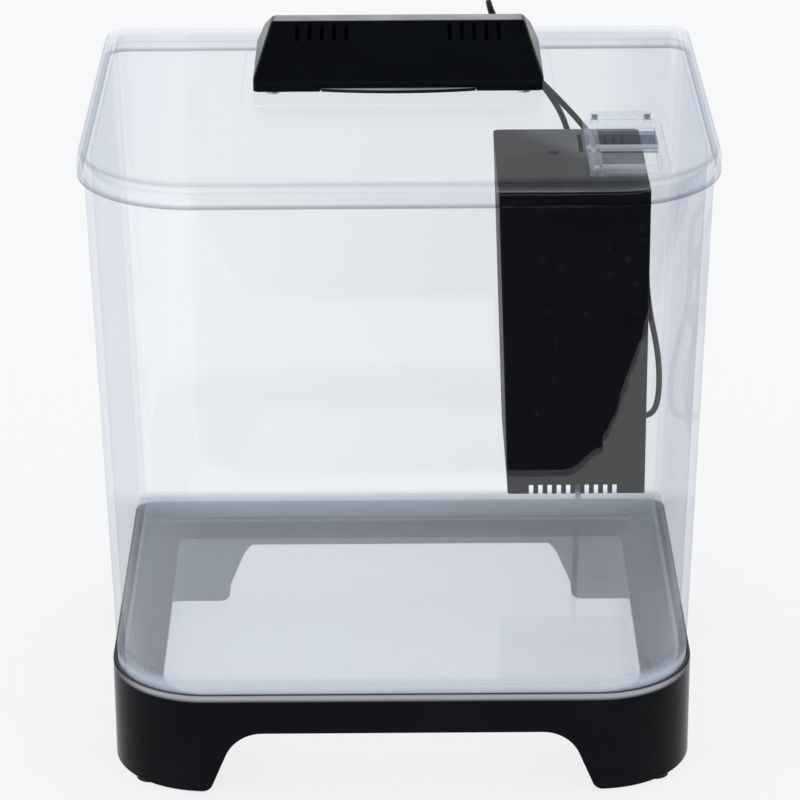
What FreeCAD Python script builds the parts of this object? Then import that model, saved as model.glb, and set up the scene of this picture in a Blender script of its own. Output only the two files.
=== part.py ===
import FreeCAD, Part
import math
import os
import re

import Sketcher
from FreeCAD import Placement, Rotation, Vector

# A small desktop aquarium: a clear moulded tank standing in a black four-legged base ring, a clear lid
# with an LED lamp and a flap for feeding, and an internal filter with its pump in the rear right corner.
# Millimetres, +Z up, +X to the right, -Y to the front. The origin is on the table, under the middle.

DIMENSIONS = {
    # lid
    "lid_width": 249.0,
    "lid_depth": 205.0,
    "lid_front_radius": 46.5,
    "lid_rear_radius": 9.0,
    "lid_top": 263.0,
    "lid_skirt": 10.6,
    "lid_wall": 1.9,
    "lid_plate": 2.2,
    "lid_edge_round": 4.4,
    "lid_rib_outer": 3.4,
    "lid_rib_inner": 5.4,
    "notch_left": 35.0,
    "notch_right": 51.5,
    "notch_front": 87.5,
    # tank, tapering from its rim down to its floor
    "rim_width": 244.2,
    "rim_depth": 200.2,
    "rim_front_radius": 44.0,
    "rim_rear_radius": 7.0,
    "rim_height": 257.5,
    "foot_width": 231.8,
    "foot_depth": 185.6,
    "foot_front_radius": 37.5,
    "foot_rear_radius": 6.0,
    "foot_height": 34.5,
    "tank_wall": 3.0,
    "tank_floor": 4.0,
    "rim_round": 0.9,
    "floor_round": 1.6,
    # base ring and its legs
    "base_width": 236.0,
    "base_depth": 190.0,
    "base_front_radius": 39.5,
    "base_rear_radius": 8.0,
    "base_top": 44.0,
    "base_bottom": 1.0,
    "base_lip": 1.5,
    "base_wall": 2.4,
    "ledge_reach": 20.0,
    "ledge_thickness": 3.0,
    "skirt_bottom": 27.0,
    "arch_inset": 51.0,
    "leg_inset": 40.1,
    "arch_top_round": 16.0,
    "arch_foot_round": 4.5,
    "leg_floor_reach": 14.0,
    "leg_floor_top": 4.0,
    "base_edge_round": 0.7,
    # rubber pads under the legs
    "pad_radius": 5.5,
    "pad_height": 1.8,
    "pad_peg_radius": 2.2,
    "pad_peg_top": 6.0,
    "pad_inset": 15.2,
    # feeding flap and its hinge
    "flap_left": 71.5,
    "flap_right": 102.0,
    "flap_front": 98.0,
    "flap_rear": 39.0,
    "flap_gap": 0.12,
    "flap_plate": 1.5,
    "flap_rim": 3.4,
    "flap_rim_width": 1.7,
    "flap_corner": 3.0,
    "flap_lip_front": 100.6,
    "flap_lip_inset": 6.0,
    "flap_lip_thickness": 1.6,
    "flap_bar_front": 75.0,
    "flap_bar_rear": 70.4,
    "flap_border_front": 4.6,
    "flap_border_rear": 9.6,
    "flap_border_left": 5.0,
    "flap_border_right": 3.0,
    "gutter_width": 1.7,
    "gutter_depth": 1.1,
    "gutter_inset": 3.0,
    "hinge_back": 36.0,
    "hinge_height": 266.3,
    "hinge_radius": 2.5,
    "hinge_pin_radius": 1.0,
    "hinge_clearance": 0.06,
    "hinge_ear": 2.6,
    "hinge_gap": 0.4,
    "hinge_left": 78.0,
    "hinge_right": 95.5,
    "hinge_arm": 2.0,
    "hinge_arm_drop": 0.2,
    "feed_left": 76.5,
    "feed_right": 98.5,
    "feed_front": 93.0,
    "feed_rear": 46.0,
    "feed_corner": 3.0,
    # lamp
    "lamp_seat": 264.0,
    "lamp_half_width": 58.5,
    "lamp_front": 6.0,
    "lamp_rear": 62.0,
    "lamp_height": 20.0,
    "lamp_cheek": 5.0,
    "lamp_ridge_front": 39.0,
    "lamp_ridge_rear": 47.0,
    "lamp_rear_height": 13.0,
    "lamp_end_lean": 6.8,
    "lamp_wall": 2.0,
    "lamp_gap": 0.2,
    "lamp_round": 2.6,
    "lamp_inner_round": 0.5,
    "platform_half_width": 63.0,
    "platform_front": 10.5,
    "platform_rear": 67.0,
    "platform_corner": 8.0,
    "lamp_plate": 2.0,
    "tab_half_width": 31.0,
    "tab_reach": 2.8,
    "tab_height": 1.3,
    "window_half_width": 46.0,
    "window_front": 22.0,
    "window_rear": 44.0,
    "lens_flange": 1.4,
    "lens_flange_height": 0.9,
    "board_half_width": 54.0,
    "board_front": 24.5,
    "board_rear": 41.5,
    "board_bottom": 268.0,
    "board_thickness": 1.4,
    "chip_pitch": 11.4,
    "chip_row": 4.6,
    "chip_length": 3.5,
    "chip_width": 2.8,
    "chip_height": 0.8,
    "post_x": 51.0,
    "post_radius": 2.4,
    "board_screw_radius": 1.0,
    "board_screw_head_radius": 2.2,
    "board_screw_head": 1.3,
    "boss_x": 51.0,
    "boss_front": 20.5,
    "boss_front_height": 9.5,
    "boss_rear": 54.0,
    "boss_rear_height": 13.5,
    "boss_radius": 3.3,
    "screw_radius": 1.45,
    "screw_head_radius": 2.8,
    "screw_head": 1.4,
    "screw_tip": 270.0,
    "slot_half_length": 1.6,
    "slot_half_width": 0.35,
    "slot_depth": 0.7,
    "vent_first": 21.0,
    "vent_pitch": 5.0,
    "vent_width": 1.6,
    "vent_front": 27.5,
    "vent_rear": 38.0,
    "switch_x": 30.0,
    "switch_height": 271.4,
    "switch_half_width": 6.0,
    "switch_depth": 9.0,
    "switch_above": 3.2,
    "button_radius": 3.0,
    "button_root": 4.0,
    "button_proud": 2.4,
    "inlet_x": -30.0,
    "inlet_height": 271.0,
    "inlet_radius": 4.5,
    "inlet_length": 12.0,
    "inlet_flange": 0.9,
    "inlet_flange_height": 0.8,
    "inlet_bore": 2.8,
    "inlet_depth": 10.0,
    "inlet_pin": 1.0,
    # filter
    "filter_right": 102.8,
    "filter_left_top": 40.6,
    "filter_left_bottom": 45.0,
    "filter_front": 6.0,
    "filter_rear": 88.0,
    "filter_bottom": 88.0,
    "filter_top": 220.5,
    "filter_lip": 3.0,
    "filter_lip_wall": 1.4,
    "filter_wall": 2.0,
    "filter_corner": 3.0,
    "cover_gap": 0.3,
    "cover_round": 1.4,
    "split_back": 48.0,
    "divider_back": 50.0,
    "pump_window": 11.0,
    "outflow_left": 56.0,
    "outflow_right": 92.0,
    "outflow_first": 150.0,
    "outflow_pitch": 11.0,
    "outflow_height": 4.0,
    "comb_bottom": 86.4,
    "comb_top": 90.4,
    "comb_slot": 1.9,
    "comb_pitch": 3.9,
    "comb_first": 54.0,
    "grip_left": 54.5,
    "grip_right": 89.5,
    "grip_bottom": 211.5,
    "grip_height": 3.6,
    "grip_reach": 2.2,
    "rail_width": 1.6,
    "grille_first": 76.0,
    "grille_pitch": 3.6,
    "grille_slot": 1.8,
    "grille_front": 57.0,
    "grille_rear": 80.0,
    # what the water is filtered through
    "media_left": 49.6,
    "media_right": 98.8,
    "media_bottom": 94.0,
    "media_top": 213.0,
    "cartridge_front": 14.0,
    "cartridge_rear": 20.0,
    "cartridge_border": 3.4,
    "cartridge_bar": 1.4,
    "cartridge_bar_height": 2.0,
    "cartridge_bar_first": 124.0,
    "cartridge_bar_pitch": 28.0,
    "floss_gap": 0.2,
    "floss_bulge": 1.6,
    "pouch_inset": 1.4,
    "pouch_depth": 5.0,
    "pouch_top": 206.0,
    "foam_gap": 0.6,
    "foam_front": 27.0,
    "foam_rear": 47.0,
    "foam_rest": 4.0,
    # pump
    "pump_x": 74.0,
    "pump_z": 108.0,
    "pump_half_width": 18.0,
    "pump_half_height": 15.0,
    "pump_front": 60.5,
    "pump_rear": 85.6,
    "pump_wall": 2.5,
    "pump_face": 3.0,
    "pump_cap": 1.8,
    "pump_cap_gap": 0.1,
    "well_radius": 6.6,
    "well_end": 74.0,
    "well_wall": 1.4,
    "core_half_width": 14.0,
    "core_half_gap": 8.6,
    "core_half_height": 4.0,
    "core_front": 65.0,
    "core_rear": 82.0,
    "core_yoke": 5.0,
    "winding_half_width": 7.6,
    "winding_wrap": 1.3,
    "winding_side": 2.6,
    "winding_gap": 0.1,
    "rotor_radius": 6.0,
    "rotor_front": 60.0,
    "rotor_rear": 72.4,
    "shaft_radius": 1.0,
    "shaft_front": 52.6,
    "shaft_rear": 73.2,
    "shaft_clearance": 0.05,
    "front_bush_radius": 1.98,
    "front_bush_front": 51.6,
    "front_bush_rear": 55.0,
    "rear_bush_radius": 3.4,
    "rear_bush_front": 72.6,
    "hub_radius": 3.2,
    "hub_front": 55.8,
    "blade_radius": 9.0,
    "blade_depth": 4.2,
    "blade_thickness": 1.0,
    "volute_radius": 13.0,
    "volute_front": 52.6,
    "chamber_radius": 10.0,
    "chamber_front": 54.2,
    "intake_radius": 2.1,
    "intake_ring": 6.0,
    "dial_radius": 9.6,
    "dial_front": 50.8,
    "dial_rear": 52.4,
    "dial_eye_radius": 3.26,
    "dial_boss_radius": 3.2,
    "dial_boss_front": 50.4,
    "dial_boss_rear": 55.2,
    "dial_nub_radius": 1.2,
    "dial_nub_height": 8.0,
    "dial_nub_front": 48.4,
    "stub_wall": 0.8,
    "stub_height": 19.0,
    "stub_socket": 11.0,
    "riser_radius": 3.0,
    "riser_bore": 2.2,
    "riser_x": 65.0,
    "riser_y": 56.55,
    # suction cups
    "cup_radius": 9.0,
    "cup_wall": 0.8,
    "cup_neck": 2.4,
    "cup_knob": 3.2,
    "cup_hole": 2.6,
    "cup_high": 160.0,
    "cup_low": 134.0,
    "cup_left": 54.0,
    "cup_right": 96.0,
    # free lead
    "lead_radius": 1.3,
    "gland_y": 64.0,
    "gland_z": 97.0,
    "gland_radius": 3.0,
    "gland_taper": 2.4,
    "gland_tip": 105.4,
    "sheath_mouth": 1.7,
    "coil_x": 100.0,
    "coil_y": 131.0,
    "coil_inner": 10.9,
    "coil_outer": 19.1,
    "coil_bottom": 0.6,
    "coil_height": 7.8,
    "coil_round": 1.3,
    "tie_half_width": 2.0,
    "tie_strap": 0.55,
    "tie_gap": 0.05,
    "plug_x": 57.0,
    "plug_y": 160.0,
    "plug_z": 4.1,
    "plug_length": 20.0,
    "plug_half_width": 7.4,
    "plug_half_height": 4.0,
    "plug_round": 1.8,
    "relief_length": 9.0,
    "relief_radius": 3.0,
    "shell_length": 13.0,
    "shell_half_width": 6.0,
    "shell_half_height": 2.25,
    "shell_wall": 0.4,
    "latch_size": 2.3,
    "latch_back": 6.2,
    "latch_inner": 1.7,
    "tongue_gap": 0.1,
    "tongue_top": 0.5,
}

# Where the pump lead runs: out of its gland, in a bow beside the filter, up behind it, over the rear rim,
# down the back and along the table into the coil.
LEAD_ROUTE = [
    (105.4, 64.0, 97.0),
    (108.8, 64.0, 97.6),
    (111.3, 64.0, 101.2),
    (112.3, 64.0, 107.2),
    (112.5, 64.2, 114.7),
    (112.0, 64.6, 123.0),
    (110.5, 65.6, 132.5),
    (108.4, 68.0, 142.0),
    (107.0, 72.0, 151.5),
    (106.8, 77.5, 161.5),
    (107.2, 84.0, 171.0),
    (105.9, 90.4, 180.5),
    (99.4, 91.6, 190.5),
    (90.0, 91.4, 205.5),
    (79.7, 91.9, 220.6),
    (68.4, 92.5, 233.0),
    (57.0, 92.6, 244.6),
    (48.6, 92.0, 254.0),
    (43.0, 91.4, 262.2),
    (40.2, 94.2, 269.0),
    (39.0, 100.0, 272.6),
    (38.9, 107.0, 272.0),
    (39.9, 112.0, 267.2),
    (43.2, 113.2, 259.6),
    (49.6, 112.6, 249.2),
    (57.6, 112.0, 238.6),
    (65.4, 111.8, 229.4),
    (72.4, 111.2, 217.6),
    (76.8, 110.8, 200.0),
    (79.0, 110.4, 172.0),
    (79.8, 110.1, 132.0),
    (79.4, 110.4, 88.0),
    (80.2, 111.0, 50.0),
    (81.4, 112.2, 24.0),
    (82.2, 115.0, 9.4),
    (82.6, 121.0, 2.9),
    (82.4, 129.5, 2.0),
]
# Where the tail of the lead runs, from the coil into its plug.
TAIL_ROUTE = [
    (106.2, 120.3, 7.1),
    (100.0, 118.1, 8.2),
    (93.2, 117.6, 9.6),
    (86.0, 119.4, 9.8),
    (79.9, 124.0, 8.2),
    (76.8, 130.8, 5.6),
    (75.9, 138.2, 3.9),
    (75.7, 145.6, 3.6),
    (74.6, 152.4, 3.8),
    (71.0, 157.8, 4.0),
    (65.4, 159.9, 4.1),
    (60.5, 160.0, 4.1),
]
# The internal leads of the lamp: inlet to switch, and switch to board.
LAMP_WIRE_RADIUS = 0.6
LAMP_WIRE_ROUTES = [
    [
        (-30.0, 49.7, 271.0),
        (-29.6, 46.4, 272.2),
        (-23.0, 44.6, 274.4),
        (-8.0, 44.2, 275.6),
        (9.0, 44.4, 275.4),
        (23.0, 44.8, 274.2),
        (28.6, 46.8, 272.6),
        (29.0, 50.7, 271.6),
    ],
    [
        (12.0, 36.0, 269.7),
        (12.2, 36.8, 272.0),
        (14.8, 40.0, 273.4),
        (19.5, 42.4, 273.2),
        (24.6, 43.6, 271.6),
        (26.8, 46.6, 270.2),
        (27.0, 50.7, 269.6),
    ],
]

doc = FreeCAD.newDocument("desktop_aquarium")
sheet = doc.addObject("Spreadsheet::Sheet", "Dim")
for row, (alias, number) in enumerate(DIMENSIONS.items(), start=1):
    sheet.set(f"A{row}", alias)
    sheet.set(f"B{row}", str(number))
    sheet.setAlias(f"B{row}", alias)
doc.recompute()

subparts = []


# ---------------------------------------------------------------- helpers


def linked(formula):
    """The formula with each dimension's name made a reference to its cell."""
    return re.sub(r"[a-z_]+", lambda m: "Dim." + m[0] if m[0] in DIMENSIONS else m[0], str(formula))


def number(formula):
    """What a formula of dimensions comes to."""
    return float(sheet.evalExpression(linked(formula)))


def bind(thing, prop, formula):
    thing.setExpression(prop, linked(formula))


def keep(thing, label):
    """Name the finished object of one sub-part."""
    thing.Label = label
    subparts.append(thing)
    return thing


def new_body(name):
    return doc.addObject("PartDesign::Body", name)


def sketch_on(body, name, role="XY_Plane", offset="0"):
    """A sketch on one of the body's own origin planes, moved along the plane's normal."""
    sketch = body.newObject("Sketcher::SketchObject", name)
    plane = next(f for f in body.Origin.OriginFeatures if f.Role == role)
    sketch.AttachmentSupport = [(plane, "")]
    sketch.MapMode = "FlatFace"
    bind(sketch, "AttachmentOffset.Base.z", offset)
    return sketch


def dimension(sketch, constraint, formula):
    index = sketch.addConstraint(constraint)
    sketch.renameConstraint(index, f"Size{index}")
    bind(sketch, f"Constraints.Size{index}", formula)


def place_point(sketch, line, x, y):
    """Hold the start of a line at formulas x and y from the sketch's origin."""
    for kind, axis, formula in (("DistanceX", -2, x), ("DistanceY", -1, y)):
        size = number(formula)
        if abs(size) < 1e-9:
            sketch.addConstraint(Sketcher.Constraint("PointOnObject", line, 1, axis))
        elif size > 0:
            dimension(sketch, Sketcher.Constraint(kind, -1, 1, line, 1, size), formula)
        else:
            dimension(sketch, Sketcher.Constraint(kind, line, 1, -1, 1, -size), f"-({formula})")


def polygon(sketch, points):
    """A closed outline of straight lines through points given as formulas."""
    spots = [Vector(number(x), number(y), 0) for x, y in points]
    first = sketch.GeometryCount
    count = len(spots)
    for i in range(count):
        sketch.addGeometry(Part.LineSegment(spots[i], spots[(i + 1) % count]), False)
    for i in range(count):
        sketch.addConstraint(Sketcher.Constraint("Coincident", first + i, 2, first + (i + 1) % count, 1))
    for i, (x, y) in enumerate(points):
        place_point(sketch, first + i, x, y)
    return sketch


def rectangle(sketch, left, right, low, high):
    return polygon(sketch, [(left, low), (right, low), (right, high), (left, high)])


def circle(sketch, x, y, radius):
    """A full circle whose centre and radius are formulas."""
    centre = Vector(number(x), number(y), 0)
    index = sketch.addGeometry(Part.Circle(centre, Vector(0, 0, 1), number(radius)), False)
    for kind, axis, formula, size in (("DistanceX", -2, x, centre.x), ("DistanceY", -1, y, centre.y)):
        if abs(size) < 1e-9:
            sketch.addConstraint(Sketcher.Constraint("PointOnObject", index, 3, axis))
        elif size > 0:
            dimension(sketch, Sketcher.Constraint(kind, -1, 1, index, 3, size), formula)
        else:
            dimension(sketch, Sketcher.Constraint(kind, index, 3, -1, 1, -size), f"-({formula})")
    dimension(sketch, Sketcher.Constraint("Radius", index, number(radius)), radius)
    return sketch


def rounded_outline(sketch, width, depth, front_radius, rear_radius, front=None):
    """A rectangle, even about the Y axis, with its own corner radius at the front and at the rear."""
    front = front or f"({depth})/2"
    half, low = number(width) / 2, -number(front)
    high = low + number(depth)
    fore, aft = number(front_radius), number(rear_radius)
    corners = [
        (half - fore, low + fore, fore, 270),
        (half - aft, high - aft, aft, 0),
        (-half + aft, high - aft, aft, 90),
        (-half + fore, low + fore, fore, 180),
    ]
    sides = [
        ((-half + fore, low), (half - fore, low)),
        ((half, low + fore), (half, high - aft)),
        ((half - aft, high), (-half + aft, high)),
        ((-half, high - aft), (-half, low + fore)),
    ]
    first = sketch.GeometryCount
    for (start, end), (x, y, radius, angle) in zip(sides, corners):
        sketch.addGeometry(Part.LineSegment(Vector(*start, 0), Vector(*end, 0)), False)
        round_line = Part.Circle(Vector(x, y, 0), Vector(0, 0, 1), radius)
        arc = Part.ArcOfCircle(round_line, math.radians(angle), math.radians(angle + 90))
        sketch.addGeometry(arc, False)
    for i in range(8):
        pair = (first + i, 2, first + (i + 1) % 8, 1)
        sketch.addConstraint(Sketcher.Constraint("Tangent", *pair))
    sketch.addConstraint(Sketcher.Constraint("Symmetric", first, 1, first, 2, -2))
    sketch.addConstraint(Sketcher.Constraint("Horizontal", first + 4))
    for side in (2, 6):
        sketch.addConstraint(Sketcher.Constraint("Vertical", first + side))
    sketch.addConstraint(Sketcher.Constraint("Equal", first + 1, first + 7))
    sketch.addConstraint(Sketcher.Constraint("Equal", first + 3, first + 5))
    dimension(sketch, Sketcher.Constraint("DistanceX", first + 6, 1, first + 2, 1, 2 * half), width)
    dimension(sketch, Sketcher.Constraint("DistanceY", first, 1, first + 4, 1, high - low), depth)
    dimension(sketch, Sketcher.Constraint("Radius", first + 1, fore), front_radius)
    dimension(sketch, Sketcher.Constraint("Radius", first + 3, aft), rear_radius)
    if low < 0:
        dimension(sketch, Sketcher.Constraint("DistanceY", first, 1, -1, 1, -low), front)
    else:
        dimension(sketch, Sketcher.Constraint("DistanceY", -1, 1, first, 1, low), f"-({front})")
    return sketch


def pad(body, sketch, length, back=False, both=False):
    """Add the sketch's outline, pushed along its normal, or against it, or half each way."""
    feature = body.newObject("PartDesign::Pad", sketch.Name + "_pad")
    feature.Profile = sketch
    bind(feature, "Length", length)
    feature.Reversed = back
    if both:
        feature.SideType = "Symmetric"
    doc.recompute()
    return feature


def pocket(body, sketch, length, up=False, both=False):
    """Cut the sketch's outline against its normal, or along it, and make sure that it cut something."""
    before = body.Shape.Volume
    feature = body.newObject("PartDesign::Pocket", sketch.Name + "_pocket")
    feature.Profile = sketch
    bind(feature, "Length", length)
    feature.Reversed = up
    if both:
        feature.SideType = "Symmetric"
    doc.recompute()
    if not body.Shape.Volume < before - 0.01:
        raise RuntimeError(f"{feature.Name} cuts nothing")
    return feature


def loft(body, kind, low, high):
    feature = body.newObject("PartDesign::" + kind, low.Name + "_loft")
    feature.Profile = (low, [""])
    feature.Sections = [(high, [""])]
    feature.Ruled = True
    doc.recompute()
    return feature


def fillet(body, base, radius, test):
    """Round the edges of the base feature whose middle point and shape pass the test."""
    names = []
    for index, edge in enumerate(base.Shape.Edges, start=1):
        if test(edge, edge.valueAt((edge.FirstParameter + edge.LastParameter) / 2)):
            names.append(f"Edge{index}")
    feature = body.newObject("PartDesign::Fillet", base.Name + "_round")
    feature.Base = (base, names)
    bind(feature, "Radius", radius)
    doc.recompute()
    if "Invalid" in feature.State or not names:
        raise RuntimeError(f"{feature.Name} can't round {len(names)} edges")
    return feature


def box(name, x, y, z):
    """A box between two formulas along each axis."""
    block = doc.addObject("Part::Box", name)
    for size, axis, (low, high) in zip(("Length", "Width", "Height"), "xyz", (x, y, z)):
        bind(block, size, f"({high}) - ({low})")
        bind(block, f"Placement.Base.{axis}", low)
    return block


def rounded(name, base, radius, test):
    """The base object with the edges that pass the test rounded."""
    doc.recompute()
    size = number(radius)
    feature = doc.addObject("Part::Fillet", name)
    feature.Base = base
    feature.Edges = [(i, size, size) for i, edge in enumerate(base.Shape.Edges, start=1) if test(edge)]
    return feature


def upright(edge, at=None):
    return edge.BoundBox.ZLength > 1


def level(edge, at=None):
    return edge.BoundBox.ZLength < 0.01


TURNS = {"x": Rotation(Vector(0, 1, 0), 90), "y": Rotation(Vector(1, 0, 0), -90), "z": Rotation()}


def rod(name, radius, along, low, high, x="0", y="0", z="0"):
    """A cylinder along one axis, between the formulas low and high."""
    cylinder = doc.addObject("Part::Cylinder", name)
    cylinder.Placement = Placement(Vector(), TURNS[along])
    bind(cylinder, "Radius", radius)
    bind(cylinder, "Height", f"({high}) - ({low})")
    for axis, formula in zip("xyz", (x, y, z)):
        bind(cylinder, f"Placement.Base.{axis}", low if axis == along else formula)
    return cylinder


def fuse(name, shapes):
    joined = doc.addObject("Part::MultiFuse", name)
    joined.Shapes = shapes
    joined.Refine = True
    return joined


def cut(name, base, tool):
    """The base less the tool, or less every tool of a list."""
    result = doc.addObject("Part::Cut", name)
    result.Base = base
    result.Tool = fuse(name + "_tools", tool) if isinstance(tool, list) else tool
    result.Refine = True
    return result


def common(name, base, tool):
    """The space that two shapes share."""
    shared = doc.addObject("Part::Common", name)
    shared.Base = base
    shared.Tool = tool
    return shared


def cone(name, along, root, tip, low, high, x="0", y="0", z="0"):
    """A cone along one axis, from radius root at low to radius tip at high."""
    taper = doc.addObject("Part::Cone", name)
    taper.Placement = Placement(Vector(), TURNS[along])
    bind(taper, "Radius1", root)
    bind(taper, "Radius2", tip)
    bind(taper, "Height", f"({high}) - ({low})")
    for axis, formula in zip("xyz", (x, y, z)):
        bind(taper, f"Placement.Base.{axis}", low if axis == along else formula)
    return taper


def group(name, shapes):
    """Several separate solids that make one node."""
    together = doc.addObject("Part::Compound", name)
    together.Links = shapes
    return together


def tube(name, route, radius):
    """A round lead along straight runs joined by tangent arcs, each as large as its two runs allow."""
    spots = [Vector(*spot) for spot in route]
    runs = [after - before for before, after in zip(spots, spots[1:])]
    edges, radii = [], []
    start = spots[0]
    for spot, before, after in zip(spots[1:], runs, runs[1:]):
        turn = before.getAngle(after)
        reach = 0.45 * min(before.Length, after.Length)
        bend = reach / math.tan(turn / 2)
        radii.append(bend)
        into = Vector(before).normalize()
        out = Vector(after).normalize()
        enter = spot - into * reach
        leave = spot + out * reach
        towards = (out - into).normalize()
        middle = spot + towards * (bend / math.cos(turn / 2) - bend)
        edges.append(Part.LineSegment(start, enter).toShape())
        edges.append(Part.Arc(enter, middle, leave).toShape())
        start = leave
    edges.append(Part.LineSegment(start, spots[-1]).toShape())
    path = Part.Wire(edges)
    ring = Part.Wire([Part.Circle(spots[0], runs[0], radius).toShape()])
    solid = path.makePipeShell([ring], True, False, 2)
    wanted = math.pi * radius**2 * path.Length
    print(f"{name}: {path.Length:.1f} mm, volume {solid.Volume / wanted:.4f} of section times length")
    print("  radii", " ".join(f"{bend:.1f}" for bend in radii))
    feature = doc.addObject("Part::Feature", name)
    feature.Shape = solid
    return feature


# ---------------------------------------------------------------- tank and base


def make_tank():
    body = new_body("tank_body")
    outlines = {}
    for skin, inset, floor in (
        ("outer", "0", "foot_height"),
        ("inner", "tank_wall", "foot_height + tank_floor"),
    ):
        low = sketch_on(body, f"tank_{skin}_low", offset=floor)
        high = sketch_on(body, f"tank_{skin}_high", offset="rim_height")
        for sketch, end in ((low, "foot"), (high, "rim")):
            rounded_outline(
                sketch,
                f"{end}_width - 2*{inset}",
                f"{end}_depth - 2*{inset}",
                f"{end}_front_radius - {inset}",
                f"{end}_rear_radius - {inset}",
            )
        outlines[skin] = (low, high)
    doc.recompute()
    loft(body, "AdditiveLoft", *outlines["outer"])
    hollow = loft(body, "SubtractiveLoft", *outlines["inner"])
    rim, floor = number("rim_height"), number("foot_height")
    lip = fillet(body, hollow, "rim_round", lambda edge, at: abs(at.z - rim) < 0.01 and level(edge))
    fillet(body, lip, "floor_round", lambda edge, at: abs(at.z - floor) < 0.01 and level(edge))
    keep(body, "tank_shell")


def arch_profile(sketch, half):
    """The gap between two legs, seen square on: wide at the table, narrower at the skirt's lower edge."""
    polygon(
        sketch,
        [
            (f"-({half} - leg_inset)", "base_bottom - 2"),
            (f"{half} - leg_inset", "base_bottom - 2"),
            (f"{half} - leg_inset", "base_bottom"),
            (f"{half} - arch_inset", "skirt_bottom"),
            (f"-({half} - arch_inset)", "skirt_bottom"),
            (f"-({half} - leg_inset)", "base_bottom"),
        ],
    )


def base_outline(sketch, inset, least="1.5"):
    """The base's outline, moved in, with no corner radius under the least."""
    rounded_outline(
        sketch,
        f"base_width - 2*({inset})",
        f"base_depth - 2*({inset})",
        f"max(base_front_radius - ({inset}); {least})",
        f"max(base_rear_radius - ({inset}); {least})",
    )


def make_base():
    body = new_body("base_body")
    block = sketch_on(body, "base_block", offset="base_bottom")
    base_outline(block, "0")
    pad(body, block, "base_top - base_bottom")
    seat = sketch_on(body, "base_seat", offset="base_top")
    base_outline(seat, "base_lip")
    pocket(body, seat, "base_top - foot_height")
    opening = sketch_on(body, "base_opening", offset="foot_height")
    base_outline(opening, "ledge_reach", "3")
    pocket(body, opening, "foot_height")
    hollow = sketch_on(body, "base_hollow", offset="leg_floor_top")
    base_outline(hollow, "base_wall")
    pocket(body, hollow, "foot_height - ledge_thickness - leg_floor_top", up=True)
    floor = sketch_on(body, "base_floor", offset="base_bottom")
    base_outline(floor, "leg_floor_reach", "3")
    pocket(body, floor, "leg_floor_top - base_bottom", up=True)
    for name, role, half, through in (
        ("front_arch", "XZ_Plane", "base_width/2", "base_depth + 4"),
        ("side_arch", "YZ_Plane", "base_depth/2", "base_width + 4"),
    ):
        sketch = sketch_on(body, name, role)
        arch_profile(sketch, half)
        arch = pocket(body, sketch, through, both=True)
    round_base_edges(body, arch)
    make_pads(body)


def round_base_edges(body, arch):
    """Round the arches' tops and the legs' toes, and break the ring's upper outer edge."""
    high, low, top = number("skirt_bottom"), number("base_bottom"), number("base_top")
    longest = number("base_wall") + 0.8

    def arch_corner(edge, at):
        return abs(at.z - high) < 0.01 and level(edge) and edge.Length < longest

    arch = fillet(body, arch, "arch_top_round", arch_corner)
    inner_x, inner_y = number("base_width/2 - leg_inset"), number("base_depth/2 - leg_inset")

    def foot_corner(edge, at):
        on_side = abs(abs(at.x) - inner_x) < 0.01 and edge.BoundBox.XLength < 0.01
        on_end = abs(abs(at.y) - inner_y) < 0.01 and edge.BoundBox.YLength < 0.01
        return abs(at.z - low) < 0.01 and level(edge) and (on_side or on_end)

    arch = fillet(body, arch, "arch_foot_round", foot_corner)
    half_width, half_depth = number("base_width/2"), number("base_depth/2")

    def outer_top(edge, at):
        sides = edge.BoundBox.XMax > half_width - 0.5 or edge.BoundBox.XMin < 0.5 - half_width
        return abs(at.z - top) < 0.01 and level(edge) and (sides or abs(abs(at.y) - half_depth) < 0.3)

    fillet(body, arch, "base_edge_round", outer_top)


def make_pads(body):
    """A rubber pad under each leg, its peg pressed into the leg's floor."""
    pads, holes = [], []
    for side, x in (("left", -1), ("right", 1)):
        for end, inset, y in (
            ("front", "pad_inset", "-(base_depth/2 - pad_inset)"),
            ("rear", "leg_floor_reach", "base_depth/2 - leg_floor_reach/2 - 0.4"),
        ):
            name = f"{end}_{side}"
            spot = (f"{x}*(base_width/2 - {inset})", y)
            disc = rod(f"{name}_pad_disc", "pad_radius", "z", "0", "pad_height", *spot)
            peg = rod(f"{name}_pad_peg", "pad_peg_radius", "z", "pad_height", "pad_peg_top", *spot)
            pads.append(fuse(f"{name}_pad", [disc, peg]))
            holes.append(rod(f"{name}_pad_seat", "pad_radius + 0.1", "z", "0", "pad_height", *spot))
            holes.append(rod(f"{name}_peg_hole", "pad_peg_radius", "z", "pad_height", "pad_peg_top", *spot))
    keep(cut("base_drilled", body, holes), "base_ring")
    keep(group("pad_group", pads), "foot_pads")


# ---------------------------------------------------------------- lid and feeding flap


def lid_outline(sketch, inset):
    rounded_outline(
        sketch,
        f"lid_width - 2*{inset}",
        f"lid_depth - 2*{inset}",
        f"lid_front_radius - {inset}",
        f"lid_rear_radius - {inset}",
    )


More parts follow.
